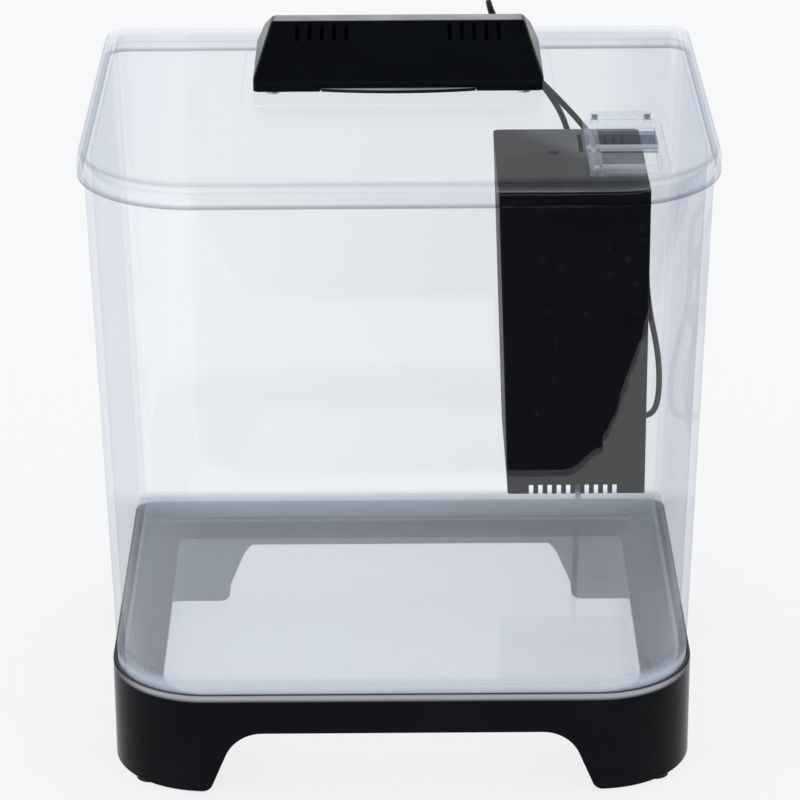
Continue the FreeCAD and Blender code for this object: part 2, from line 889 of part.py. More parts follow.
def make_lid():
    body = new_body("lid_body")
    cap = sketch_on(body, "lid_cap", offset="lid_top - lid_skirt")
    lid_outline(cap, "0")
    solid = pad(body, cap, "lid_skirt")
    top = number("lid_top")
    fillet(body, solid, "lid_edge_round", lambda edge, at: abs(at.z - top) < 0.01 and level(edge))
    inside = sketch_on(body, "lid_inside", offset="lid_top - lid_skirt")
    lid_outline(inside, "lid_wall")
    pocket(body, inside, "lid_skirt - lid_plate", up=True)
    rib = sketch_on(body, "lid_rib", offset="rim_height")
    lid_outline(rib, "lid_rib_outer")
    lid_outline(rib, "lid_rib_inner")
    pad(body, rib, "lid_top - lid_plate - rim_height")
    platform = sketch_on(body, "lamp_platform", offset="lid_top")
    rounded_outline(
        platform,
        "2*platform_half_width",
        "platform_front + platform_rear",
        "platform_corner",
        "platform_corner",
        "platform_front",
    )
    pad(body, platform, "lamp_seat - lid_top")
    notch = sketch_on(body, "lead_notch", offset="lid_top + 1")
    rectangle(notch, "notch_left", "notch_right", "notch_front", "lid_depth/2 + 1")
    pocket(body, notch, "lid_skirt + 2")

    through_lid = ("lid_top - lid_plate - 1", "lamp_seat + 1")
    opening = box("feeding_hole", ("feed_left", "feed_right"), ("-feed_front", "-feed_rear"), through_lid)
    tools = [rounded("feeding_hole_rounded", opening, "feed_corner", upright)]
    ears = []
    axis = {"y": "-hinge_back", "z": "hinge_height"}
    beside_axis = ("-hinge_back - hinge_radius", "-hinge_back + hinge_radius")
    for side, low in (("left", "hinge_left - hinge_gap - hinge_ear"), ("right", "hinge_right + hinge_gap")):
        high = f"{low} + hinge_ear"
        ears.append(rod(f"{side}_ear_eye", "hinge_radius", "x", low, high, **axis))
        ears.append(box(f"{side}_ear_leg", (low, high), beside_axis, ("lid_top - 0.5", "hinge_height")))
        past = (f"{low} - 1", f"{high} + 1")
        tools.append(rod(f"{side}_ear_bore", "hinge_pin_radius + hinge_clearance", "x", *past, **axis))
    for name, x, y in screw_spots():
        tools.append(rod(f"lid_hole_{name}", "screw_radius + 0.2", "z", *through_lid, x, y))
    keep(cut("lid_drilled", fuse("lid_with_ears", [body] + ears), tools), "lid_panel")


def make_flap():
    body = new_body("flap_body")
    under = "lid_top + flap_gap"
    plate = sketch_on(body, "flap_plate_outline", offset=under)
    rectangle(plate, "flap_left", "flap_right", "-flap_front", "-flap_rear")
    solid = pad(body, plate, "flap_rim")
    fillet(body, solid, "flap_corner", upright)
    windows = sketch_on(body, "flap_windows", offset=f"{under} + flap_rim")
    for low, high in (
        ("-flap_front + flap_border_front", "-flap_bar_front"),
        ("-flap_bar_rear", "-flap_rear - flap_border_rear"),
    ):
        rectangle(windows, "flap_left + flap_border_left", "flap_right - flap_border_right", low, high)
    pocket(body, windows, "flap_rim - flap_plate")
    gutter = sketch_on(body, "flap_gutter", offset=f"{under} + flap_rim")
    rectangle(
        gutter,
        "flap_left + flap_rim_width",
        "flap_left + flap_rim_width + gutter_width",
        "-flap_front + gutter_inset",
        "-flap_rear - gutter_inset",
    )
    pocket(body, gutter, "gutter_depth")

    axis = {"y": "-hinge_back", "z": "hinge_height"}
    along = ("hinge_left", "hinge_right")
    barrel = rod("flap_barrel", "hinge_radius - 0.1", "x", *along, **axis)
    past_ears = ("hinge_left - hinge_ear", "hinge_right + hinge_ear")
    pins = rod("flap_pins", "hinge_pin_radius", "x", *past_ears, **axis)
    arm_top = "hinge_height - hinge_arm_drop"
    arm = box("flap_arm", along, ("-flap_rear - 1", "-hinge_back"), (f"{arm_top} - hinge_arm", arm_top))
    lip = box(
        "flap_lip",
        ("flap_left + flap_lip_inset", "flap_right - flap_lip_inset"),
        ("-flap_lip_front", "-flap_front + 1"),
        (f"{under} + flap_rim - flap_lip_thickness", f"{under} + flap_rim"),
    )
    keep(fuse("flap_whole", [body, barrel, pins, arm, lip]), "feeding_flap")


# ---------------------------------------------------------------- lamp


def screw_spots():
    """The name and place of each of the four screws that hold the lamp on the lid."""
    return [
        (f"{end}_{side}", x, f"boss_{end}")
        for side, x in (("left", "-boss_x"), ("right", "boss_x"))
        for end in ("front", "rear")
    ]


def post_spots():
    """The name and place of each of the two posts that carry the LED board."""
    middle = "(board_front + board_rear)/2"
    return [("left", "-post_x", middle), ("right", "post_x", middle)]


def lamp_form(name, skin, round_radius):
    """The lamp's outside, or with skin its inside: a low wedge with a ridge, its ends leaning in."""
    body = new_body(name)
    section = sketch_on(body, name + "_section", "YZ_Plane")
    seat = "lamp_seat" if skin == "0" else "lamp_seat - 1"
    cheek = f"lamp_seat + lamp_cheek - {skin}*0.6"
    top = f"lamp_seat + lamp_height - {skin}"
    polygon(
        section,
        [
            (f"lamp_front + {skin}", seat),
            (f"lamp_rear - {skin}", seat),
            (f"lamp_rear - {skin}", f"lamp_seat + lamp_rear_height - {skin}"),
            ("lamp_ridge_rear", top),
            ("lamp_ridge_front", top),
            (f"lamp_front + {skin}", cheek),
        ],
    )
    pad(body, section, f"2*(lamp_half_width - {skin})", both=True)
    ends = sketch_on(body, name + "_ends", "XZ_Plane")
    for side in ("", "-"):
        polygon(
            ends,
            [
                (f"{side}(lamp_half_width - {skin})", cheek),
                (f"{side}(lamp_half_width - {skin} - lamp_end_lean)", top),
                (f"{side}(lamp_half_width - {skin} - lamp_end_lean)", f"{top} + 5"),
                (f"{side}(lamp_half_width + 5)", f"{top} + 5"),
                (f"{side}(lamp_half_width + 5)", cheek),
            ],
        )
    leaning = pocket(body, ends, "4*lamp_rear", both=True)
    base = number(seat)
    fillet(body, leaning, round_radius, lambda edge, at: at.z > base + 2 and edge.Length > 3)
    return body


def make_lamp():
    outer = lamp_form("lamp_outer_form", "0", "lamp_round")
    inner = lamp_form("lamp_inner_form", "lamp_wall", "lamp_inner_round")
    shell = cut("lamp_shell", outer, inner)
    bosses, tools = [], []
    for name, x, y in screw_spots():
        boss = ("lamp_seat + lamp_plate + 0.1", f"lamp_seat + {y}_height")
        bosses.append(rod(f"boss_rod_{name}", "boss_radius", "z", *boss, x, y))
        pilot = ("lamp_seat + 1", "screw_tip + 0.6")
        tools.append(rod(f"boss_pilot_{name}", "screw_radius + 0.02", "z", *pilot, x, y))
    bosses = common("lamp_bosses", fuse("lamp_boss_rods", bosses), outer)
    for side in (-1, 1):
        for i in range(5):
            middle = f"{side}*(vent_first + {i}*vent_pitch)"
            across = (f"{middle} - vent_width/2", f"{middle} + vent_width/2")
            through = ("lamp_seat + lamp_cheek + 4", "lamp_seat + lamp_height + 1")
            tools.append(box(f"vent_{side + 1}_{i}", across, ("vent_front", "vent_rear"), through))
    tools.append(
        box(
            "tab_slot",
            ("-tab_half_width - 0.4", "tab_half_width + 0.4"),
            ("lamp_front - 1", "lamp_front + lamp_wall + 0.4"),
            ("lamp_seat - 0.1", "lamp_seat + tab_height + 0.2"),
        )
    )
    rear_wall = ("lamp_rear - lamp_wall - 1", "lamp_rear + 1")
    tools.append(rod("button_hole", "button_radius + 0.1", "y", *rear_wall, "switch_x", z="switch_height"))
    tools.append(rod("inlet_hole", "inlet_radius + 0.1", "y", *rear_wall, "inlet_x", z="inlet_height"))
    keep(cut("lamp_vented", fuse("lamp_with_bosses", [shell, bosses]), tools), "lamp_housing")


def make_lamp_plate():
    side = "lamp_half_width - lamp_wall - lamp_gap"
    depth = ("lamp_front + lamp_wall + lamp_gap", "lamp_rear - lamp_wall - lamp_gap")
    plate = box("lamp_plate_sheet", (f"-({side})", side), depth, ("lamp_seat", "lamp_seat + lamp_plate"))
    bulge = "(tab_half_width^2 + tab_reach^2)/(2*tab_reach)"
    middle = f"lamp_front - tab_reach + {bulge}"
    disc = rod("tab_disc", bulge, "z", "lamp_seat", "lamp_seat + tab_height", y=middle)
    strip = box(
        "tab_strip",
        ("-tab_half_width", "tab_half_width"),
        ("lamp_front - tab_reach - 1", "lamp_front + lamp_wall + 1"),
        ("lamp_seat - 1", "lamp_seat + tab_height + 1"),
    )
    through = ("lamp_seat - 1", "lamp_seat + lamp_plate + 1")
    across, along = ("-window_half_width", "window_half_width"), ("window_front", "window_rear")
    solids = [plate, common("finger_tab", disc, strip)]
    tools = [box("lens_window", across, along, through)]
    for name, x, y in post_spots():
        solids.append(rod(f"post_{name}", "post_radius", "z", "lamp_seat + 1", "board_bottom", x, y))
        pilot = ("lamp_seat + 2", "board_bottom + 1")
        tools.append(rod(f"post_pilot_{name}", "board_screw_radius + 0.05", "z", *pilot, x, y))
    for name, x, y in screw_spots():
        tools.append(rod(f"plate_hole_{name}", "screw_radius + 0.2", "z", *through, x, y))
    keep(cut("lamp_plate_drilled", fuse("lamp_plate_solid", solids), tools), "lamp_base_plate")

    lens = box(
        "lens_block",
        ("-window_half_width + lamp_gap", "window_half_width - lamp_gap"),
        ("window_front + lamp_gap", "window_rear - lamp_gap"),
        ("lamp_seat + 0.2", "lamp_seat + lamp_plate"),
    )
    flange = box(
        "lens_flange_sheet",
        ("-window_half_width - lens_flange", "window_half_width + lens_flange"),
        ("window_front - lens_flange", "window_rear + lens_flange"),
        ("lamp_seat + lamp_plate", "lamp_seat + lamp_plate + lens_flange_height"),
    )
    keep(fuse("lens_whole", [lens, flange]), "lamp_lens")
    keep(group("lamp_screw_group", [cross_screw(*spot) for spot in screw_spots()]), "lamp_screws")


def cross_screw(name, x, y):
    """A pan-head screw driven up through the lid into a boss."""
    under = "lid_top - lid_plate"
    head = rod(f"{name}_screw_head", "screw_head_radius", "z", f"{under} - screw_head", under, x, y)
    shank = rod(f"{name}_screw_shank", "screw_radius", "z", under, "screw_tip", x, y)
    depth = (f"{under} - screw_head - 1", f"{under} - screw_head + slot_depth")
    long, short = "slot_half_length", "slot_half_width"
    slots = [
        box(f"{name}_slot_{way}", (f"{x} - {a}", f"{x} + {a}"), (f"{y} - {b}", f"{y} + {b}"), depth)
        for way, a, b in (("across", long, short), ("along", short, long))
    ]
    return cut(f"{name}_screw", fuse(f"{name}_screw_blank", [head, shank]), slots)


def make_lamp_board():
    top = "board_bottom + board_thickness"
    across, along = ("-board_half_width", "board_half_width"), ("board_front", "board_rear")
    board = box("board_sheet", across, along, ("board_bottom", top))
    holes = [
        rod(f"board_hole_{name}", "board_screw_radius + 0.3", "z", "board_bottom - 1", f"{top} + 1", x, y)
        for name, x, y in post_spots()
    ]
    keep(cut("board_drilled", board, holes), "led_board")

    chips = []
    for row in (-1, 1):
        for i in range(8):
            x = f"{i - 3.5}*chip_pitch"
            y = f"(board_front + board_rear)/2 + {row}*chip_row"
            sides = (f"{x} - chip_length/2", f"{x} + chip_length/2")
            ends = (f"{y} - chip_width/2", f"{y} + chip_width/2")
            height = ("board_bottom - chip_height", "board_bottom")
            chips.append(box(f"chip_{row + 1}_{i}", sides, ends, height))
    keep(group("chip_group", chips), "led_chips")

    screws = []
    for name, x, y in post_spots():
        head_top = f"{top} + board_screw_head"
        head = rod(f"{name}_board_screw_head", "board_screw_head_radius", "z", top, head_top, x, y)
        depth = ("lamp_seat + lamp_plate + 0.4", top)
        shank = rod(f"{name}_board_screw_shank", "board_screw_radius", "z", *depth, x, y)
        blank = fuse(f"{name}_board_screw_blank", [head, shank])
        across = (f"{x} - board_screw_head_radius - 1", f"{x} + board_screw_head_radius + 1")
        along = (f"{y} - slot_half_width", f"{y} + slot_half_width")
        slot = box(f"{name}_board_screw_slot", across, along, (f"{head_top} - slot_depth", f"{head_top} + 1"))
        screws.append(cut(f"{name}_board_screw", blank, slot))
    keep(group("board_screw_group", screws), "board_screws")


def make_switch():
    inside = "lamp_rear - lamp_wall"
    place = {"x": "switch_x", "z": "switch_height"}
    block = box(
        "switch_block",
        ("switch_x - switch_half_width", "switch_x + switch_half_width"),
        (f"{inside} - switch_depth", f"{inside} - 0.1"),
        ("lamp_seat + lamp_plate + 0.6", "switch_height + switch_above"),
    )
    bore = rod("switch_bore", "button_radius + 0.1", "y", f"{inside} - button_root - 2", inside, **place)
    keep(cut("switch_bored", block, bore), "switch_body")
    reach = (f"{inside} - button_root", "lamp_rear + button_proud")
    keep(rod("button_rod", "button_radius", "y", *reach, **place), "switch_button")


def make_inlet():
    place = {"x": "inlet_x", "z": "inlet_height"}
    barrel = rod("inlet_barrel", "inlet_radius", "y", "lamp_rear - inlet_length", "lamp_rear", **place)
    rim = ("lamp_rear", "lamp_rear + inlet_flange_height")
    flange = rod("inlet_flange_disc", "inlet_radius + inlet_flange", "y", *rim, **place)
    bore = rod("inlet_bore_tool", "inlet_bore", "y", "lamp_rear - inlet_depth", "lamp_rear + 2", **place)
    keep(cut("inlet_bored", fuse("inlet_blank", [barrel, flange]), bore), "power_inlet")
    reach = ("lamp_rear - inlet_depth", "lamp_rear - 1")
    keep(rod("inlet_pin_rod", "inlet_pin", "y", *reach, **place), "inlet_pin")


def make_lamp_wires():
    wires = [tube(f"lamp_wire_{i}", route, LAMP_WIRE_RADIUS) for i, route in enumerate(LAMP_WIRE_ROUTES)]
    keep(group("lamp_wire_group", wires), "lamp_wires")


# ---------------------------------------------------------------- filter


def filter_block(name, inset, rear, bottom, top, front):
    """A filter-shaped block: its left side leans, the others are upright."""
    body = new_body(name)
    section = sketch_on(body, name + "_section", "XZ_Plane", offset=f"-({rear})")
    lean = "(filter_left_top - filter_left_bottom)/(filter_top - filter_bottom)"
    left_low = f"filter_left_bottom + {inset} + {lean}*({bottom} - filter_bottom)"
    left_high = f"filter_left_bottom + {inset} + {lean}*({top} - filter_bottom)"
    right = f"filter_right - {inset}"
    polygon(section, [(left_low, bottom), (right, bottom), (right, top), (left_high, top)])
    pad(body, section, f"({rear}) - ({front})")
    return body


def make_filter_housing():
    front = "filter_front + filter_wall + cover_gap"
    roof = "filter_top - filter_wall"
    outer = filter_block("housing_outer", "0", "filter_rear", "filter_bottom", roof, front)
    rear = number("filter_rear")
    fillet(outer, outer.Tip, "filter_corner", lambda edge, at: edge.BoundBox.ZLength > 50 and at.y > rear - 1)
    inner = filter_block(
        "housing_inner",
        "filter_wall",
        "filter_rear - filter_wall",
        "filter_bottom + filter_wall",
        "filter_top + 5",
        "filter_front - 5",
    )
    shell = cut("housing_shell", outer, inner)
    floor = "filter_bottom + 1"
    sheet_depth = ("divider_back", "divider_back + filter_wall")
    divider = box("divider_sheet", ("filter_left_top + 1", "filter_right - 1"), sheet_depth, (floor, roof))
    wall = common("divider", divider, outer)
    rest = box(
        "foam_rest_block",
        ("filter_left_bottom + 0.5", "filter_right - 1"),
        ("foam_front + 1", "divider_back + 0.5"),
        (floor, "filter_bottom + foam_rest"),
    )
    past_divider = ("divider_back - 1", "divider_back + filter_wall + 1")
    past_side = ("filter_right - filter_wall - 1", "filter_right + 1")
    past_rear = ("filter_rear - filter_wall - 1", "filter_rear + 1")
    tools = [
        rod("divider_window", "pump_window", "y", *past_divider, "pump_x", z="pump_z"),
        rod("gland_hole", "gland_radius + 0.1", "x", *past_side, y="gland_y", z="gland_z"),
        box(
            "intake_mouth",
            ("comb_first - 1.5", "comb_first + 10*comb_pitch"),
            (f"{front} - 1", f"{front} + 4"),
            ("filter_bottom - 1", "comb_top + 0.6"),
        ),
    ]
    for name, x, z in cup_spots():
        tools.append(rod(f"cup_hole_{name}", "cup_hole", "y", *past_rear, x, z=z))
    for i in range(5):
        low = f"outflow_first + {i}*outflow_pitch"
        across = ("outflow_left", "outflow_right")
        tools.append(box(f"divider_slot_{i}", across, past_divider, (low, f"{low} + outflow_height")))
    keep(cut("housing_cut", fuse("housing_joined", [shell, wall, rest]), tools), "filter_housing")


def make_filter_front():
    back = "filter_front + filter_wall"
    panel = filter_block("front_panel", "0", back, "comb_bottom", "filter_top", "filter_front")
    front = number("filter_front")
    foot = number("comb_bottom")
    fillet(panel, panel.Tip, "cover_round", lambda edge, at: abs(at.y - front) < 0.01 and at.z > foot + 1)
    flange = box(
        "cover_flange",
        ("filter_left_top", "filter_right"),
        (f"{back} - 0.6", "split_back - cover_gap"),
        ("filter_top - filter_wall", "filter_top"),
    )
    rail_depth = (f"{back} - 0.5", "cartridge_rear + 2")
    rail_height = ("media_bottom - 1", "filter_top - filter_wall + 0.5")
    rails = [
        box(f"cover_rail_{side}", (low, f"{low} + rail_width"), rail_depth, rail_height)
        for side, low in (("left", "media_left - rail_width"), ("right", "media_right"))
    ]
    bulge = "((grip_right - grip_left)^2/4 + grip_reach^2)/(2*grip_reach)"
    grip_top = "grip_bottom + grip_height"
    middle = ("(grip_left + grip_right)/2", f"filter_front - grip_reach + {bulge}")
    disc = rod("grip_disc", bulge, "z", "grip_bottom", grip_top, *middle)
    strip = box(
        "grip_strip",
        ("grip_left", "grip_right"),
        ("filter_front - grip_reach - 1", "filter_front + 1"),
        ("grip_bottom - 1", f"{grip_top} + 1"),
    )
    slots = []
    for i in range(10):
        left = f"comb_first + {i}*comb_pitch"
        across, through = (left, f"{left} + comb_slot"), ("filter_front - 1", f"{back} + 1")
        slots.append(box(f"comb_slot_{i}", across, through, ("comb_bottom - 1", "comb_top")))
    solids = [panel, flange, common("grip_ridge", disc, strip)] + rails
    keep(cut("front_slotted", fuse("front_joined", solids), slots), "filter_front_cover")


def make_filter_top():
    top = "filter_top - filter_wall"
    body = new_body("top_cover_body")
    outline = sketch_on(body, "top_cover_outline", offset=top)
    rectangle(outline, "filter_left_top", "filter_right", "split_back", "filter_rear")
    solid = pad(body, outline, "filter_wall")
    rear = number("filter_rear")
    fillet(body, solid, "filter_corner", lambda edge, at: upright(edge) and at.y > rear - 0.1)
    left, right = "filter_left_top + filter_wall + 0.6", "filter_right - filter_wall - 0.3"
    front, back = "divider_back + filter_wall + 0.3", "filter_rear - filter_wall - 0.3"
    wall = "filter_lip_wall"
    lip = cut(
        "top_cover_lip",
        box("lip_outside", (left, right), (front, back), (f"{top} - filter_lip", top)),
        box(
            "lip_inside",
            (f"{left} + {wall}", f"{right} - {wall}"),
            (f"{front} + {wall}", f"{back} - {wall}"),
            (f"{top} - filter_lip - 1", top),
        ),
    )
    through = (f"{top} - 5", "filter_top + 1")
    tools = [
        rod("riser_outlet", "riser_bore", "z", *through, "riser_x", "riser_y"),
        rod("riser_seat", "riser_radius + 0.1", "z", f"{top} - 5", f"{top} + 0.8", "riser_x", "riser_y"),
    ]
    for i in range(6):
        x = f"grille_first + {i}*grille_pitch"
        across = (x, f"{x} + grille_slot")
        tools.append(box(f"grille_slot_{i}", across, ("grille_front", "grille_rear"), through))
    keep(cut("top_cover_cut", fuse("top_cover_joined", [body, lip]), tools), "filter_top_cover")


def make_media():
    """The cartridge with its floss and its pouch of carbon, and the foam behind them."""
    depth = ("cartridge_front", "cartridge_rear")
    frame = box("cartridge_outside", ("media_left", "media_right"), depth, ("media_bottom", "media_top"))
    inside = ("media_left + cartridge_border", "media_right - cartridge_border")
    between = ("media_bottom + cartridge_border", "media_top - cartridge_border")
    window = box("cartridge_window", inside, ("cartridge_front - 1", "cartridge_rear + 1"), between)
    bars = []
    for i in range(3):
        low = f"cartridge_bar_first + {i}*cartridge_bar_pitch"
        across = (f"{inside[0]} - 0.5", f"{inside[1]} + 0.5")
        bar_depth = ("cartridge_rear - cartridge_bar", "cartridge_rear")
        bars.append(box(f"cartridge_bar_{i}", across, bar_depth, (low, f"{low} + cartridge_bar_height")))
    keep(fuse("cartridge_joined", [cut("cartridge_ring", frame, window)] + bars), "cartridge_frame")
    floss = box(
        "floss_block",
        (f"{inside[0]} + floss_gap", f"{inside[1]} - floss_gap"),
        ("cartridge_front - floss_bulge", "cartridge_rear - cartridge_bar"),
        (f"{between[0]} + floss_gap", f"{between[1]} - floss_gap"),
    )
    keep(floss, "cartridge_floss")
    pouch = box(
        "carbon_block",
        ("media_left + pouch_inset", "media_right - pouch_inset"),
        ("cartridge_rear", "cartridge_rear + pouch_depth"),
        ("media_bottom + 2", "pouch_top"),
    )
    keep(pouch, "carbon_pouch")
    foam = box(
        "foam_block",
        ("filter_left_bottom + filter_wall + foam_gap", "filter_right - filter_wall - foam_gap"),
        ("foam_front", "foam_rear"),
        ("filter_bottom + foam_rest + 0.2", "media_top"),
    )
    keep(foam, "bio_foam")


# ---------------------------------------------------------------- pump

PUMP_AXIS = {"x": "pump_x", "z": "pump_z"}


def about(axis, half):
    """The two ends of a width about the pump's middle."""
    return (f"{axis} - ({half})", f"{axis} + ({half})")


def make_motor():
    wide, tall = about("pump_x", "pump_half_width"), about("pump_z", "pump_half_height")
    case = box("pump_case", wide, ("pump_front", "pump_rear"), tall)
    inner_width, inner_height = "pump_half_width - pump_wall", "pump_half_height - pump_wall"
    bay_depth = ("pump_front + pump_face", "pump_rear + 1")
    bay = box("stator_bay", about("pump_x", inner_width), bay_depth, about("pump_z", inner_height))
    sleeve_depth = ("pump_front", "well_end + well_wall")
    sleeve = rod("well_sleeve", "well_radius + well_wall", "y", *sleeve_depth, **PUMP_AXIS)
    well = rod("well_bore", "well_radius", "y", "pump_front - 1", "well_end", **PUMP_AXIS)
    shell = fuse("pump_case_sleeved", [cut("pump_case_hollow", case, bay), sleeve])
    keep(cut("pump_case_bored", shell, well), "pump_motor_case")
    cap_wide = about("pump_x", f"{inner_width} - pump_cap_gap")
    cap_tall = about("pump_z", f"{inner_height} - pump_cap_gap")
    keep(box("pump_cap_plate", cap_wide, ("pump_rear - pump_cap", "pump_rear"), cap_tall), "pump_rear_cap")

    height = about("pump_z", "core_half_height")
    yoke_front = "core_rear - core_yoke"
    legs = [
        box(f"core_leg_{side}", across, ("core_front", "core_rear"), height)
        for side, across in (
            ("left", ("pump_x - core_half_width", "pump_x - core_half_gap")),
            ("right", ("pump_x + core_half_gap", "pump_x + core_half_width")),
        )
    ]
    yoke = box("core_yoke_bar", about("pump_x", "core_half_width"), (yoke_front, "core_rear"), height)
    keep(fuse("core_joined", legs + [yoke]), "stator_core")
    winding = box(
        "winding_outside",
        about("pump_x", "winding_half_width"),
        (f"{yoke_front} - winding_wrap", "core_rear + winding_wrap"),
        about("pump_z", "core_half_height + winding_side"),
    )
    window = box(
        "winding_window",
        about("pump_x", "winding_half_width + 1"),
        (f"{yoke_front} - winding_gap", "core_rear + winding_gap"),
        about("pump_z", "core_half_height + winding_gap"),
    )
    keep(cut("winding_ring", winding, window), "stator_coil")


def make_rotor():
    bore_radius = "shaft_radius + shaft_clearance"
    magnet = rod("magnet_rod", "rotor_radius", "y", "rotor_front", "rotor_rear", **PUMP_AXIS)
    bore = rod("magnet_bore", bore_radius, "y", "rotor_front - 1", "rotor_rear + 1", **PUMP_AXIS)
    keep(cut("magnet_bored", magnet, bore), "rotor_magnet")
    wheel = [rod("impeller_hub", "hub_radius", "y", "hub_front", "rotor_front", **PUMP_AXIS)]
    for i in range(6):
        half_thick = ("-blade_thickness/2", "blade_thickness/2")
        blade = box(f"blade_{i}", ("0", "blade_radius"), ("0", "blade_depth"), half_thick)
        turned = group(f"blade_turned_{i}", [blade])
        hub = Vector(number("pump_x"), number("hub_front"), number("pump_z"))
        turned.Placement = Placement(hub, Rotation(Vector(0, 1, 0), 60 * i))
        wheel.append(turned)
    bore = rod("hub_bore", bore_radius, "y", "hub_front - 1", "rotor_front + 1", **PUMP_AXIS)
    keep(cut("impeller_bored", fuse("impeller_blank", wheel), bore), "impeller")
    keep(rod("shaft_rod", "shaft_radius", "y", "shaft_front", "shaft_rear", **PUMP_AXIS), "impeller_shaft")
    for name, outside, bored in (
        ("front_bush", ("front_bush_front", "front_bush_rear"), ("shaft_front - 0.1", "front_bush_rear + 1")),
        ("rear_bush", ("rear_bush_front", "well_end"), ("rear_bush_front - 1", "shaft_rear + 0.1")),
    ):
        blank = rod(f"{name}_blank", f"{name}_radius", "y", *outside, **PUMP_AXIS)
        keep(cut(f"{name}_bored", blank, rod(f"{name}_bore", "shaft_radius", "y", *bored, **PUMP_AXIS)), name)


def intake_holes(name, low, high):
    """The four holes that the volute cover and the flow dial share, which the dial opens and shuts."""
    holes = []
    for i in range(4):
        angle = 90 * i + 45
        x, z = f"pump_x + intake_ring*cos({angle})", f"pump_z + intake_ring*sin({angle})"
        holes.append(rod(f"{name}_intake_{i}", "intake_radius", "y", low, high, x, z=z))
    return holes


def make_volute():
    drum = rod("volute_drum", "volute_radius", "y", "volute_front", "pump_front", **PUMP_AXIS)
    place = ("riser_x", "riser_y")
    stub = rod("volute_stub", "riser_radius + stub_wall", "z", "pump_z", "pump_z + stub_height", *place)
    above = "pump_z + stub_height + 1"
    holes = intake_holes("volute", "volute_front - 1", "chamber_front + 0.3") + [
        rod("volute_chamber", "chamber_radius", "y", "chamber_front", "pump_front + 1", **PUMP_AXIS),
        rod("volute_outlet", "riser_bore", "z", "pump_z", above, *place),
        rod("volute_socket", "riser_radius + 0.05", "z", "pump_z + stub_socket", above, *place),
    ]
    hollow = cut("volute_hollow", fuse("volute_blank", [drum, stub]), holes)
    boss = rod("volute_boss", "dial_boss_radius", "y", "dial_boss_front", "dial_boss_rear", **PUMP_AXIS)
    seat_depth = ("front_bush_front - 0.1", "dial_boss_rear + 1")
    seat = rod("bush_seat", "front_bush_radius + 0.02", "y", *seat_depth, **PUMP_AXIS)
    keep(cut("volute_bored", fuse("volute_with_boss", [hollow, boss]), seat), "volute_cover")

    disc = rod("dial_disc", "dial_radius", "y", "dial_front", "dial_rear", **PUMP_AXIS)
    nub_depth = ("dial_nub_front", "dial_front + 0.2")
    nub = rod("dial_nub", "dial_nub_radius", "y", *nub_depth, "pump_x", z="pump_z + dial_nub_height")
    past_dial = ("dial_front - 1", "dial_rear + 1")
    eye = rod("dial_eye", "dial_eye_radius", "y", *past_dial, **PUMP_AXIS)
    tools = intake_holes("dial", *past_dial) + [eye]
    keep(cut("dial_cut", fuse("dial_blank", [disc, nub]), tools), "flow_dial")

    roof = "filter_top - filter_wall"
    riser = rod("riser_outside", "riser_radius", "z", "pump_z + stub_socket + 0.2", f"{roof} + 0.6", *place)
    bore = rod("riser_inside", "riser_bore", "z", "pump_z", "filter_top", *place)
    keep(cut("riser_bored", riser, bore), "riser_tube")


def cup_spots():
    """The name and place of each of the four suction cups on the filter's rear wall."""
    return [(f"{x}_{z}", f"cup_{x}", f"cup_{z}") for x in ("left", "right") for z in ("low", "high")]


def make_cups():
    """Suction cups that hold the filter on the tank's rear wall, which leans back as it rises."""
    cups = []
    inside = "filter_rear - filter_wall"
    for name, x, z in cup_spots():
        lean = "(rim_depth - foot_depth)/2/(rim_height - foot_height)"
        wall = f"foot_depth/2 - tank_wall - 0.5 + {lean}*({z} - foot_height)"
        knob = rod(f"cup_knob_{name}", "cup_knob", "y", f"{inside} - 2.4", f"{inside} - 0.2", x, z=z)
        neck = rod(f"cup_neck_{name}", "cup_neck", "y", f"{inside} - 2", "filter_rear + 1", x, z=z)
        dish = cone(f"cup_dish_{name}", "y", "4", "cup_radius", "filter_rear + 0.3", wall, x, z=z)
        hollow_root = "filter_rear + 0.3 + 1.5*cup_wall"
        mouth = f"{wall} + 0.02"
        hollow = cone(f"cup_hollow_{name}", "y", "2", "cup_radius - cup_wall", hollow_root, mouth, x, z=z)
        cups.append(cut(f"cup_{name}_solid", fuse(f"cup_blank_{name}", [knob, neck, dish]), hollow))
    keep(group("cup_group", cups), "suction_cups")


# ---------------------------------------------------------------- free lead


def make_lead():
    root = "pump_x + pump_half_width"
    place = {"y": "gland_y", "z": "gland_z"}
    shoulder = "gland_tip - gland_taper"
    stem = rod("gland_stem", "gland_radius", "x", root, shoulder, **place)
    nose = cone("gland_nose", "x", "gland_radius", "sheath_mouth", shoulder, "gland_tip", **place)
    keep(fuse("gland_joined", [stem, nose]), "lead_gland")

    radius = number("lead_radius")
    keep(tube("lead_tube", LEAD_ROUTE, radius), "pump_lead")
    keep(tube("tail_tube", TAIL_ROUTE, radius), "pump_lead_tail")

    place = ("coil_x", "coil_y")
    top = "coil_bottom + coil_height"
    outside = rod("coil_outside", "coil_outer", "z", "coil_bottom", top, *place)
    inside = rod("coil_inside", "coil_inner", "z", "0", f"{top} + 1", *place)
    keep(rounded("coil_rounded", cut("coil_ring", outside, inside), "coil_round", level), "pump_lead_coil")

    near, far = "coil_x + coil_inner - 5 * tie_gap", "coil_x + coil_outer + tie_gap"
    low, high = "coil_bottom - tie_gap", f"{top} + tie_gap"
    band = box(
        "tie_outside",
        (f"{near} - tie_strap", f"{far} + tie_strap"),
        ("coil_y - tie_half_width", "coil_y + tie_half_width"),
        (f"{low} - tie_strap", f"{high} + tie_strap"),
    )
    past_band = ("coil_y - tie_half_width - 1", "coil_y + tie_half_width + 1")
    eye = box("tie_inside", (near, far), past_band, (low, high))
    keep(cut("tie_loop", band, eye), "lead_tie")


